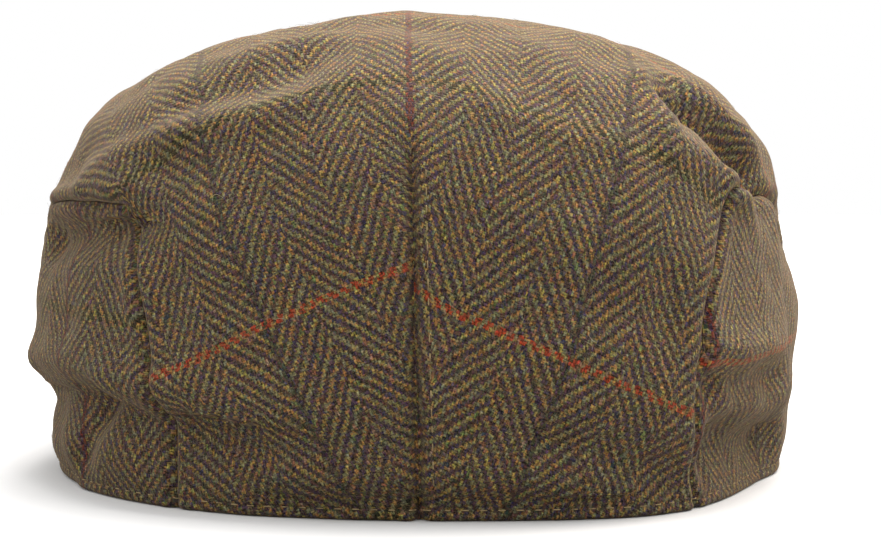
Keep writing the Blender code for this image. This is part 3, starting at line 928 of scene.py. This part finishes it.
def wool_paths(wool):
    """The paths of stray wool fibres that stand off the crown."""
    chance = np.random.default_rng(WOOL_SEED)
    azimuth = chance.uniform(-180, 180, wool.count)
    rise = 1 - np.sqrt(chance.uniform(0.0, 1.0, wool.count))
    spots = on_disc(azimuth, np.clip(rise, *WOOL_RISES))
    roots = crown(spots)
    out = facing(crown, spots)
    clear = roots[:, 2] > crown_base(azimuth)[:, 2] + CLEAR_OF_PEAK
    side = unit(np.cross(out, chance.normal(size=roots.shape)))
    other = np.cross(out, side)
    stand = tall(chance.uniform(*WOOL_STAND, wool.count) ** WOOL_STAND_POWER)
    heading = unit(side + out * stand)
    size = tall(chance.uniform(*WOOL_SIZES, wool.count) ** WOOL_SIZE_POWER * wool.length)
    curl = other * tall(chance.normal(0.0, WOOL_CURL, wool.count)) - out * stand * WOOL_DROOP
    share = np.linspace(0, 1, WOOL_POINTS)[None, :, None]
    bend = heading[:, None] * share + curl[:, None] * share**2
    paths = roots[:, None] - out[:, None] * WOOL_ROOT + size[:, None] * bend + PLACE
    return paths[clear]


def long_wool_paths():
    """A few longer, curled fibres that lie on the back."""
    share = np.linspace(0, 1, LONG_WOOL_POINTS)
    paths = []
    for fibre in LONG_WOOL:
        azimuth = np.array([float(fibre.azimuth)])
        spot = on_disc(azimuth, rise_at(azimuth, fibre.height))
        root = crown(spot)[0]
        out = facing(crown, spot)[0]
        side = unit(np.cross(out, (0.0, 0.0, 1.0)))
        turn = math.radians(fibre.heading) + share * math.radians(fibre.curl)
        steps = np.cos(turn)[:, None] * side + np.sin(turn)[:, None] * np.cross(side, out)
        run = np.cumsum(steps, axis=0) * fibre.length / LONG_WOOL_POINTS
        lift = LONG_WOOL_REST + LONG_WOOL_ARCH * np.sin(math.pi * share)
        paths.append(root + run + out * tall(lift) + PLACE)
    return paths


class Wiring:
    """Adds nodes to a tree and links them."""

    def __init__(self, tree):
        self.tree = tree

    def plug(self, socket, value):
        if isinstance(value, bpy.types.NodeSocket):
            self.tree.links.new(value, socket)
        else:
            socket.default_value = value

    def plug_all(self, node, sockets):
        for name, value in sockets.items():
            self.plug(node.inputs[name], value)

    def node(self, kind, sockets=None, **settings):
        node = self.tree.nodes.new(kind)
        for name, value in settings.items():
            setattr(node, name, value)
        self.plug_all(node, sockets or {})
        return node

    def in_order(self, kind, operation, values):
        """A node whose sockets take their values in order."""
        node = self.node(kind, operation=operation)
        for socket, value in zip(node.inputs, values):
            self.plug(socket, value)
        return node.outputs[0]

    def math(self, operation, *values):
        return self.in_order("ShaderNodeMath", operation, values)

    def vector_math(self, operation, *values):
        return self.in_order("ShaderNodeVectorMath", operation, values)

    def vector(self, across, along, depth=0.0):
        return self.node("ShaderNodeCombineXYZ", {"X": across, "Y": along, "Z": depth}).outputs[0]

    def grey(self, value):
        return self.node("ShaderNodeCombineColor", {"Red": value, "Green": value, "Blue": value}).outputs[0]

    def mix(self, share, first, second, kind="MIX"):
        node = self.node("ShaderNodeMix", data_type="RGBA", blend_type=kind)
        self.plug(node.inputs[0], share)
        self.plug(node.inputs[6], first)
        self.plug(node.inputs[7], second)
        return node.outputs[2]

    def ramp(self, share, stops):
        node = self.node("ShaderNodeValToRGB", {"Fac": share})
        elements = node.color_ramp.elements
        while len(elements) < len(stops):
            elements.new(1.0)
        for element, (place, colour) in zip(elements, stops):
            element.position = place
            element.color = colour
        return node.outputs["Color"]

    def ramp_of(self, share, dyes):
        """The dyes one after another, evenly spaced."""
        return self.ramp(share, [(index / (len(dyes) - 1), dyed(*dye)) for index, dye in enumerate(dyes)])

    def stretch(self, value, low, high):
        node = self.node("ShaderNodeMapRange", {"Value": value, "From Min": low, "From Max": high})
        return node.outputs["Result"]

    def noise(self, vector, scale, detail=0.0, output="Fac", roughness=0.5):
        sockets = {"Vector": vector, "Scale": scale, "Detail": detail, "Roughness": roughness}
        return self.node("ShaderNodeTexNoise", sockets).outputs[output]


def new_group(name, inputs, outputs):
    """An empty shader node group with named sockets, and its wiring, input and output nodes.

    Each input has its default, or None where it is a vector, and each output has its kind.
    """
    group = bpy.data.node_groups.new(name, "ShaderNodeTree")
    for socket, value in inputs.items():
        kind = "NodeSocketVector" if value is None else "NodeSocketFloat"
        made = group.interface.new_socket(socket, in_out="INPUT", socket_type=kind)
        if value is not None:
            made.default_value = value
    for socket, kind in outputs.items():
        group.interface.new_socket(socket, in_out="OUTPUT", socket_type=kind)
    wiring = Wiring(group)
    return group, wiring, wiring.node("NodeGroupInput").outputs, wiring.node("NodeGroupOutput")


def dyed(red, green, blue):
    """A colour for a shader from display values of 0 to 255."""
    shares = [value / 255 for value in (red, green, blue)]
    return tuple(((share + 0.055) / 1.055) ** 2.4 for share in shares) + (1.0,)


def yarn_group(name, dyes):
    """The colour of spun wool along a thread: its dyes follow one another in uneven lengths."""
    inputs = {"Thread": 0.0, "Run": 0.0}
    group, wiring, given, result = new_group(name, inputs, {"Color": "NodeSocketColor"})
    row = wiring.math("MULTIPLY_ADD", given["Thread"], 7.31, 0.37)
    slow = wiring.vector(row, wiring.math("MULTIPLY", given["Run"], DYE_PACE))
    colour = wiring.ramp_of(wiring.stretch(wiring.noise(slow, 1.0, 1.0), *DYE_SPAN), dyes)
    fast = wiring.vector(row, wiring.math("MULTIPLY", given["Run"], STREAK_PACE), 4.2)
    grey = wiring.grey(wiring.math("MULTIPLY_ADD", wiring.noise(fast, 1.0, 2.0), *STREAK_CONTRAST))
    wiring.plug(result.inputs["Color"], wiring.mix(1.0, colour, grey, "MULTIPLY"))
    return group


def herringbone_group():
    """A herringbone of two threads over and two under, from the cloth's coordinates in millimetres.

    The twill climbs to the right in one stripe and to the left in the next, with a break between.
    """
    inputs = {"Cloth": None, "End Spacing": 0.735, "Pick Spacing": 0.96, "Stripe Ends": 18.0}
    outputs = dict.fromkeys(("Warp Up", "End", "Pick", "End Run", "Pick Run", "Height"), "NodeSocketFloat")
    group, wiring, given, result = new_group("herringbone", inputs, outputs)
    place = wiring.node("ShaderNodeSeparateXYZ", {"Vector": given["Cloth"]}).outputs
    across = wiring.math("DIVIDE", place["X"], given["End Spacing"])
    along = wiring.math("DIVIDE", place["Y"], given["Pick Spacing"])
    stripe = wiring.math("FLOOR", wiring.math("DIVIDE", across, given["Stripe Ends"]))
    odd = wiring.math("FLOORED_MODULO", stripe, 2.0)
    folded = wiring.math("PINGPONG", across, given["Stripe Ends"])
    end_part = wiring.math("FRACT", folded)
    pick = wiring.math("FLOOR", along)
    pick_part = wiring.math("FRACT", along)
    broken = wiring.math("MULTIPLY_ADD", odd, 2.0, pick)
    climbed = wiring.math("SUBTRACT", broken, wiring.math("FLOOR", folded))
    phase = wiring.math("FLOORED_MODULO", climbed, 4.0)
    warp_up = wiring.math("LESS_THAN", phase, 1.5)
    warp_float = wiring.math("DIVIDE", wiring.math("ADD", phase, pick_part), 2.0)
    weft_phase = wiring.math("SUBTRACT", phase, 2.0)
    weft_float = wiring.math("DIVIDE", wiring.math("ADD", weft_phase, end_part), 2.0)

    def rounded(part, float_share):
        side = wiring.math("SINE", wiring.math("MULTIPLY", part, math.pi))
        tip = wiring.math("SINE", wiring.math("MULTIPLY", float_share, math.pi))
        tip = wiring.math("POWER", wiring.math("MAXIMUM", tip, 0.0), 0.6)
        return wiring.math("MULTIPLY", wiring.math("POWER", side, 0.7), tip)

    warp = wiring.math("MULTIPLY", rounded(end_part, warp_float), warp_up)
    weft_up = wiring.math("SUBTRACT", 1.0, warp_up)
    weft = wiring.math("MULTIPLY", rounded(pick_part, weft_float), weft_up)
    numbers = {"End": wiring.math("FLOOR", across), "Pick": pick}
    runs = {"End Run": along, "Pick Run": across}
    heights = {"Warp Up": warp_up, "Height": wiring.math("ADD", warp, weft)}
    wiring.plug_all(result, numbers | runs | heights)
    return group


def check_group():
    """A mask of the threads that make one set of a windowpane check's lines, by thread number."""
    inputs = {"Thread": 0.0, "First": 0.0, "Repeat": 144.0, "Threads": 2.0}
    group, wiring, given, result = new_group("check_line", inputs, {"Mask": "NodeSocketFloat"})
    middle = wiring.math("ADD", wiring.math("SUBTRACT", given["Thread"], given["First"]), 0.5)
    wrapped = wiring.math("FLOORED_MODULO", middle, given["Repeat"])
    wiring.plug(result.inputs["Mask"], wiring.math("LESS_THAN", wrapped, given["Threads"]))
    return group


def fuzz_group():
    """The nap over woven wool: short hairs of all its dyes that lie every way, as a mask and a colour."""
    outputs = {"Mask": "NodeSocketFloat", "Color": "NodeSocketColor"}
    group, wiring, given, result = new_group("wool_nap", {"Cloth": None, "Amount": 0.2}, outputs)
    bent = wiring.noise(given["Cloth"], 0.35, 1.0, "Color")
    turned = wiring.vector_math("MULTIPLY_ADD", bent, (NAP_BEND, NAP_BEND, 0.0), given["Cloth"])
    hairs = 0.0
    place = 0.0
    for stretch in NAP_STRETCHES:
        scaled = wiring.vector_math("MULTIPLY", turned, stretch)
        hair = wiring.stretch(wiring.noise(scaled, 1.0, 1.0), *NAP_SPAN)
        hairs = wiring.math("MAXIMUM", hairs, hair)
        place = wiring.math("ADD", place, wiring.noise(scaled, 0.5))
    share = wiring.stretch(wiring.math("MULTIPLY", place, 0.5), *NAP_DYE_SPAN)
    wiring.plug(result.inputs["Mask"], wiring.math("MULTIPLY", hairs, given["Amount"]))
    wiring.plug(result.inputs["Color"], wiring.ramp_of(share, NAP_DYES))
    return group


def mottle_group():
    """Uneven dyeing and fine light and dark hairs, as a colour near white to multiply the cloth by."""
    inputs = {"Cloth": None, "Tint": 0.2, "Grain": 0.5}
    group, wiring, given, result = new_group("mottle", inputs, {"Color": "NodeSocketColor"})
    stain = wiring.noise(given["Cloth"], 0.6, 2.0, "Color", roughness=0.8)
    bright = 0.0
    for stretch in GRAIN_STRETCHES:
        scaled = wiring.vector_math("MULTIPLY", given["Cloth"], stretch)
        bright = wiring.math("ADD", bright, wiring.noise(scaled, 1.0, 1.0))
    bright = wiring.math("MULTIPLY_ADD", bright, *GRAIN_CONTRAST)
    bright = wiring.math("MAXIMUM", bright, GRAIN_DARKEST)
    stain = wiring.mix(1.0, stain, (2.0, 2.0, 2.0, 1.0), "MULTIPLY")
    tinted = wiring.mix(given["Tint"], WHITE, stain)
    grained = wiring.mix(given["Grain"], WHITE, wiring.grey(bright))
    wiring.plug(result.inputs["Color"], wiring.mix(1.0, tinted, grained, "MULTIPLY"))
    return group


def new_material(name, finish):
    """A material whose shader has the finish's constants, with its wiring and that shader."""
    material = bpy.data.materials.new(name)
    material.use_nodes = True
    shader = material.node_tree.nodes["Principled BSDF"]
    for socket, value in finish.items():
        shader.inputs[socket].default_value = value
    return material, Wiring(material.node_tree), shader


def tweed_material(look):
    """The cap's cloth, laid out on the piece's own map of cloth coordinates."""
    finish = {
        "Roughness": 0.92,
        "Specular IOR Level": 0.15,
        "Sheen Weight": look.sheen,
        "Sheen Roughness": 0.45,
        "Sheen Tint": look.sheen_colour,
    }
    material, wiring, shader = new_material("herringbone_tweed", finish)
    cloth = wiring.node("ShaderNodeUVMap", uv_map="cloth").outputs["UV"]
    loose = cloth
    for scale, reach in ((SLOW_WANDER, look.looseness), (FAST_WANDER, look.hairiness)):
        shift = wiring.vector_math("SUBTRACT", wiring.noise(cloth, scale, 2.0, "Color"), (0.5, 0.5, 0.5))
        loose = wiring.vector_math("MULTIPLY_ADD", shift, (reach, reach, 0.0), loose)

    def group(tree, **sockets):
        sockets = {name.replace("_", " "): value for name, value in sockets.items()}
        return wiring.node("ShaderNodeGroup", sockets, node_tree=tree).outputs

    weave = group(
        herringbone_group(),
        Cloth=loose,
        End_Spacing=look.end_spacing * MILLIMETRES,
        Pick_Spacing=look.pick_spacing * MILLIMETRES,
        Stripe_Ends=look.stripe_ends,
    )
    check = check_group()
    light = group(yarn_group("light_yarn", LIGHT_DYES), Thread=weave["End"], Run=weave["End Run"])["Color"]
    dark = group(yarn_group("dark_yarn", DARK_DYES), Thread=weave["Pick"], Run=weave["Pick Run"])["Color"]
    for line in CHECK_LINES:
        places = {"First": line.first, "Repeat": line.repeat, "Threads": line.threads}
        mask = group(check, Thread=weave["End" if line.warp else "Pick"], **places)["Mask"]
        mask = wiring.math("MULTIPLY", mask, line.strength)
        if line.warp:
            light = wiring.mix(mask, light, dyed(*line.dye))
        else:
            dark = wiring.mix(mask, dark, dyed(*line.dye))
    on_top = wiring.math("MULTIPLY_ADD", weave["Warp Up"], 1 - 2 * look.blend, look.blend)
    colour = wiring.mix(on_top, dark, light)
    shade = wiring.math("MULTIPLY_ADD", weave["Height"], 1 - look.thread_shade, look.thread_shade)
    colour = wiring.mix(1.0, colour, wiring.grey(shade), "MULTIPLY")
    mottle = group(mottle_group(), Cloth=cloth, Tint=look.tint, Grain=look.grain)["Color"]
    colour = wiring.mix(1.0, colour, mottle, "MULTIPLY")
    nap = group(fuzz_group(), Cloth=cloth, Amount=look.nap)
    colour = wiring.mix(nap["Mask"], colour, nap["Color"])
    # The nap's haze and a painted sheen: the colour is lightened where the cloth is seen edge-on, whatever
    # the light.
    edge_on = wiring.node("ShaderNodeLayerWeight", {"Blend": 0.5}).outputs["Facing"]
    haze_and_painted_sheen = wiring.math("MULTIPLY", wiring.math("POWER", edge_on, HAZE_AND_SHEEN_POWER), look.haze_and_painted_sheen)
    wiring.plug(shader.inputs["Base Color"], wiring.mix(haze_and_painted_sheen, colour, dyed(*HAZE_AND_SHEEN_DYE)))
    bump = {"Height": weave["Height"], "Strength": 0.7, "Distance": look.end_spacing * BUMP_SHARE}
    wiring.plug(shader.inputs["Normal"], wiring.node("ShaderNodeBump", bump).outputs["Normal"])
    return material


def thread_material(name, dye, rough):
    """Plain thread, a little lighter and darker from place to place."""
    material, wiring, shader = new_material(name, {"Roughness": rough, "Specular IOR Level": 0.2})
    uneven = wiring.noise(wiring.node("ShaderNodeTexCoord").outputs["Object"], THREAD_SPOTS, 1.0)
    low = dyed(*[value * THREAD_DARKEST for value in dye])
    high = dyed(*[min(255, value * THREAD_LIGHTEST) for value in dye])
    wiring.plug(shader.inputs["Base Color"], wiring.ramp(uneven, ((0.3, low), (0.7, high))))
    return material


def floor_material(look):
    """A matt pale floor that throws little light back up at the cap."""
    material, wiring, shader = new_material("floor", {"Roughness": 0.9, "Specular IOR Level": 0.0})
    seen = wiring.node("ShaderNodeLightPath").outputs["Is Camera Ray"]
    dim = tuple(value * look.floor_bounce for value in look.floor_colour[:3]) + (1.0,)
    wiring.plug(shader.inputs["Base Color"], wiring.mix(seen, dim, tuple(look.floor_colour)))
    return material


def lay_floor(look):
    shape = bmesh.new()
    bmesh.ops.create_circle(shape, cap_ends=True, segments=FLOOR_SIDES, radius=FLOOR_RADIUS)
    bmesh.ops.translate(shape, vec=(0.0, 0.0, -FLOOR_CLEARANCE), verts=shape.verts[:])
    mesh = mesh_of("floor", shape)
    mesh.materials.append(floor_material(look))
    floor = in_scene("floor", mesh)


def light_sky(look):
    """A white surround whose light comes mostly from overhead."""
    world = bpy.data.worlds.new("studio")
    world.use_nodes = True
    wiring = Wiring(world.node_tree)
    background = world.node_tree.nodes["Background"]
    direction = wiring.node("ShaderNodeTexCoord").outputs["Generated"]
    height = wiring.node("ShaderNodeSeparateXYZ", {"Vector": direction}).outputs["Z"]
    limits = {"Value": height, "From Max": SKY_TOP, "To Min": look.low_sky, "To Max": look.sky}
    rising = wiring.node("ShaderNodeMapRange", limits, interpolation_type="SMOOTHSTEP").outputs["Result"]
    seen = wiring.node("ShaderNodeLightPath").outputs["Is Camera Ray"]
    background.inputs["Color"].default_value = WHITE
    wiring.plug(background.inputs["Strength"], wiring.math("MAXIMUM", rising, seen))
    bpy.context.scene.world = world


def hang_lamps(look):
    for lamp in LAMPS:
        light = bpy.data.lights.new(lamp.name, "AREA")
        light.energy = look.lamp * lamp.share
        light.size = lamp.size
        light.color = lamp.colour
        holder = in_scene(lamp.name, light)
        holder.location = lamp.place
        aim = Vector(lamp.place) - Vector(LAMP_AIM)
        holder.rotation_euler = aim.to_track_quat("Z", "Y").to_euler()


def place_camera():
    """The camera, level from side to side, where the photograph's stood."""
    lens = bpy.data.cameras.new("camera")
    lens.sensor_width = SENSOR
    lens.lens = FOCAL_PIXELS * SENSOR / PHOTO_WIDTH
    lens.clip_start = 0.01
    camera = in_scene("camera", lens)
    camera.location = Vector(PLACE) + Vector((0.0, -CAMERA_AWAY, CAMERA_HEIGHT))
    turn = math.atan((PHOTO_WIDTH / 2 - CENTRE_PIXEL) / FOCAL_PIXELS)
    camera.rotation_euler = (math.pi / 2 - math.radians(CAMERA_PITCH), 0.0, -turn)
    bpy.context.scene.camera = camera


def tweed():
    return bpy.data.materials.get("herringbone_tweed") or tweed_material(bpy.context.scene.flat_cap_tweed)


def finish_piece(piece, *nodes):
    """Rides the piece on the cap's one body and hides the model's parts that it stands for."""
    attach(piece, "root")
    if nodes:
        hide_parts(*nodes)


class FlatCapTweed(bpy.types.PropertyGroup):
    """The cloth's weave and finish."""

    end_spacing: bpy.props.FloatProperty(
        name="End Spacing",
        description="How far apart the warp threads are",
        default=0.000735, min=0.0002, subtype="DISTANCE", unit="LENGTH",
    )
    pick_spacing: bpy.props.FloatProperty(
        name="Pick Spacing",
        description="How far apart the weft threads are",
        default=0.00096, min=0.0002, subtype="DISTANCE", unit="LENGTH",
    )
    stripe_ends: bpy.props.IntProperty(
        name="Threads in a Stripe",
        description="How many warp threads the twill climbs before it turns back",
        default=18, min=4,
    )
    looseness: bpy.props.FloatProperty(
        name="Looseness",
        description="How far the threads wander, in millimetres",
        default=1.7, min=0.0,
    )
    hairiness: bpy.props.FloatProperty(
        name="Hairiness",
        description="How ragged the threads' edges are, in millimetres",
        default=1.1, min=0.0,
    )
    thread_shade: bpy.props.FloatProperty(
        name="Thread Shade",
        description="How much light is left in the furrows between threads",
        default=0.54, min=0.0, max=1.0, subtype="FACTOR",
    )
    blend: bpy.props.FloatProperty(
        name="Blend",
        description="How much the hairs of each yarn hide the other one",
        default=0.1, min=0.0, max=0.5, subtype="FACTOR",
    )
    tint: bpy.props.FloatProperty(
        name="Tint",
        description="How unevenly the wool took its dyes",
        default=0.3, min=0.0, max=1.0, subtype="FACTOR",
    )
    grain: bpy.props.FloatProperty(
        name="Grain",
        description="How light and dark the finest hairs are",
        default=1.0, min=0.0, max=1.0, subtype="FACTOR",
    )
    nap: bpy.props.FloatProperty(
        name="Nap",
        description="How strongly the short hairs over the weave show",
        default=0.45, min=0.0, max=1.0, subtype="FACTOR",
    )
    # Painted sheen with the nap's haze: it lightens the cloth's colour where the cloth is seen edge-on.
    haze_and_painted_sheen: bpy.props.FloatProperty(
        name="Haze",
        description="How much the nap hides the weave where it is seen along its surface",
        default=0.45, min=0.0, max=1.0, subtype="FACTOR",
    )
    sheen: bpy.props.FloatProperty(
        name="Sheen",
        description="How much the wool glows where it is seen along its surface",
        default=0.15, min=0.0, max=1.0, subtype="FACTOR",
    )
    sheen_colour: bpy.props.FloatVectorProperty(
        name="Sheen Color",
        description="The colour of that glow",
        default=(1.0, 0.82, 0.66, 1.0), size=4, min=0.0, max=1.0, subtype="COLOR",
    )


class FlatCapStitches(bpy.types.PropertyGroup):
    """The rows of stitches."""

    pitch: bpy.props.FloatProperty(
        name="Pitch",
        description="How far apart the stitches start",
        default=0.0042, min=0.001, subtype="DISTANCE", unit="LENGTH",
    )
    length: bpy.props.FloatProperty(
        name="Stitch Length",
        description="How long each stitch shows",
        default=0.0026, min=0.0005, subtype="DISTANCE", unit="LENGTH",
    )
    radius: bpy.props.FloatProperty(
        name="Thread Radius",
        description="The sewing thread's radius",
        default=0.00016, min=0.00005, subtype="DISTANCE", unit="LENGTH",
    )


class FlatCapWool(bpy.types.PropertyGroup):
    """The stray fibres."""

    count: bpy.props.IntProperty(
        name="Fibres",
        description="How many stray fibres stand off the crown",
        default=4600, min=1, max=6000,
    )
    length: bpy.props.FloatProperty(
        name="Fibre Length",
        description="The longest of them",
        default=0.0032, min=0.0005, subtype="DISTANCE", unit="LENGTH",
    )
    radius: bpy.props.FloatProperty(
        name="Fibre Radius",
        description="A fibre's radius",
        default=0.000022, min=0.000005, subtype="DISTANCE", unit="LENGTH",
    )


class FlatCapStage(bpy.types.PropertyGroup):
    """The floor and the light."""

    sky: bpy.props.FloatProperty(
        name="Sky",
        description="The strength of the soft white light from overhead",
        default=1.2, min=0.0,
    )
    low_sky: bpy.props.FloatProperty(
        name="Low Sky",
        description="The strength of the light that comes in level from all round",
        default=0.5, min=0.0,
    )
    lamp: bpy.props.FloatProperty(
        name="Lamp",
        description="The power of the broad lamp above and behind the cap",
        default=16.0, min=0.0, subtype="POWER", unit="POWER",
    )
    floor_colour: bpy.props.FloatVectorProperty(
        name="Floor Color",
        description="The colour of the floor",
        default=(0.95, 0.95, 0.95, 1.0), size=4, min=0.0, max=1.0, subtype="COLOR",
    )
    floor_bounce: bpy.props.FloatProperty(
        name="Floor Bounce",
        description="How much of its colour the floor throws back at the cap",
        default=0.4, min=0.0, max=1.0, subtype="FACTOR",
    )


class FLATCAP_OT_top(bpy.types.Operator):
    """Build the one-piece top with its centre-back dart."""

    bl_idname = "flat_cap.top"
    bl_label = "Build Top"

    def execute(self, context):
        finish_piece(top_cloth(tweed()), "crown_top")
        return {"FINISHED"}


class FLATCAP_OT_sides(bpy.types.Operator):
    """Build the two side panels."""

    bl_idname = "flat_cap.sides"
    bl_label = "Build Side Panels"

    def execute(self, context):
        left = side_cloth("side_cloth_left", LEFT_SEAM, LEFT_CHECK, tweed())
        right = side_cloth("side_cloth_right", RIGHT_SEAM, RIGHT_CHECK, tweed())
        finish_piece(left, "side_panel_left")
        finish_piece(right, "side_panel_right")
        return {"FINISHED"}


class FLATCAP_OT_peak(bpy.types.Operator):
    """Build the stiff peak."""

    bl_idname = "flat_cap.peak"
    bl_label = "Build Peak"

    def execute(self, context):
        finish_piece(peak_cloth(tweed()), "peak")
        return {"FINISHED"}


class FLATCAP_OT_stitches(bpy.types.Operator):
    """Sew the rows of stitches along the hem and beside the dart."""

    bl_idname = "flat_cap.stitches"
    bl_label = "Sew Top-stitches"

    def execute(self, context):
        sizes = context.scene.flat_cap_stitches
        thread = thread_material("sewing_thread", THREAD_DYE, rough=0.7)
        for name, line in (("hem_stitches", hem_line()), ("dart_stitches", dart_line())):
            paths = stitches_along(*line, sizes)
            finish_piece(threads(name, paths, sizes.radius, thread, roundness=1))
        return {"FINISHED"}


class FLATCAP_OT_wool(bpy.types.Operator):
    """Add stray wool fibres over the cloth."""

    bl_idname = "flat_cap.wool"
    bl_label = "Add Stray Wool"

    def execute(self, context):
        wool = context.scene.flat_cap_wool
        fuzz = thread_material("stray_wool", WOOL_DYE, rough=0.9)
        finish_piece(threads("stray_wool", wool_paths(wool), wool.radius, fuzz))
        pale = thread_material("pale_wool", LONG_WOOL_DYE, rough=0.8)
        stout = wool.radius * LONG_WOOL_STOUTNESS
        finish_piece(threads("long_wool", long_wool_paths(), stout, pale))
        return {"FINISHED"}


class FLATCAP_OT_stage(bpy.types.Operator):
    """Set up the floor, the lights and the camera."""

    bl_idname = "flat_cap.stage"
    bl_label = "Set Up Stage"

    def execute(self, context):
        look = context.scene.flat_cap_stage
        lay_floor(look)
        light_sky(look)
        hang_lamps(look)
        place_camera()
        context.scene.view_settings.view_transform = "Standard"
        return {"FINISHED"}


class FLATCAP_PT_panel(bpy.types.Panel):
    """The steps that build the cap, with their settings."""

    bl_idname = "FLATCAP_PT_panel"
    bl_label = "Flat Cap"
    bl_space_type = "VIEW_3D"
    bl_region_type = "UI"
    bl_category = "Flat Cap"

    def draw(self, context):
        for label, settings, steps in PANEL_PARTS:
            box = self.layout.box()
            box.label(text=label)
            group = getattr(context.scene, settings)
            for name in group.__annotations__:
                box.prop(group, name)
            for step in steps:
                box.operator(step)


PANEL_PARTS = (
    ("Cloth", "flat_cap_tweed", ("flat_cap.top", "flat_cap.sides", "flat_cap.peak")),
    ("Stitches", "flat_cap_stitches", ("flat_cap.stitches",)),
    ("Stray Wool", "flat_cap_wool", ("flat_cap.wool",)),
    ("Stage", "flat_cap_stage", ("flat_cap.stage",)),
)
SETTINGS = {
    "flat_cap_tweed": FlatCapTweed,
    "flat_cap_stitches": FlatCapStitches,
    "flat_cap_wool": FlatCapWool,
    "flat_cap_stage": FlatCapStage,
}
CLASSES = (
    *SETTINGS.values(),
    FLATCAP_OT_top,
    FLATCAP_OT_sides,
    FLATCAP_OT_peak,
    FLATCAP_OT_stitches,
    FLATCAP_OT_wool,
    FLATCAP_OT_stage,
    FLATCAP_PT_panel,
)


def register():
    for item in CLASSES:
        bpy.utils.register_class(item)
    for name, settings in SETTINGS.items():
        setattr(bpy.types.Scene, name, bpy.props.PointerProperty(type=settings))


def unregister():
    for name in SETTINGS:
        delattr(bpy.types.Scene, name)
    for item in reversed(CLASSES):
        bpy.utils.unregister_class(item)


def main():
    register()
    bpy.ops.flat_cap.top()
    bpy.ops.flat_cap.sides()
    bpy.ops.flat_cap.peak()
    bpy.ops.flat_cap.stitches()
    bpy.ops.flat_cap.wool()
    bpy.ops.flat_cap.stage()


if __name__ == "__main__":
    main()
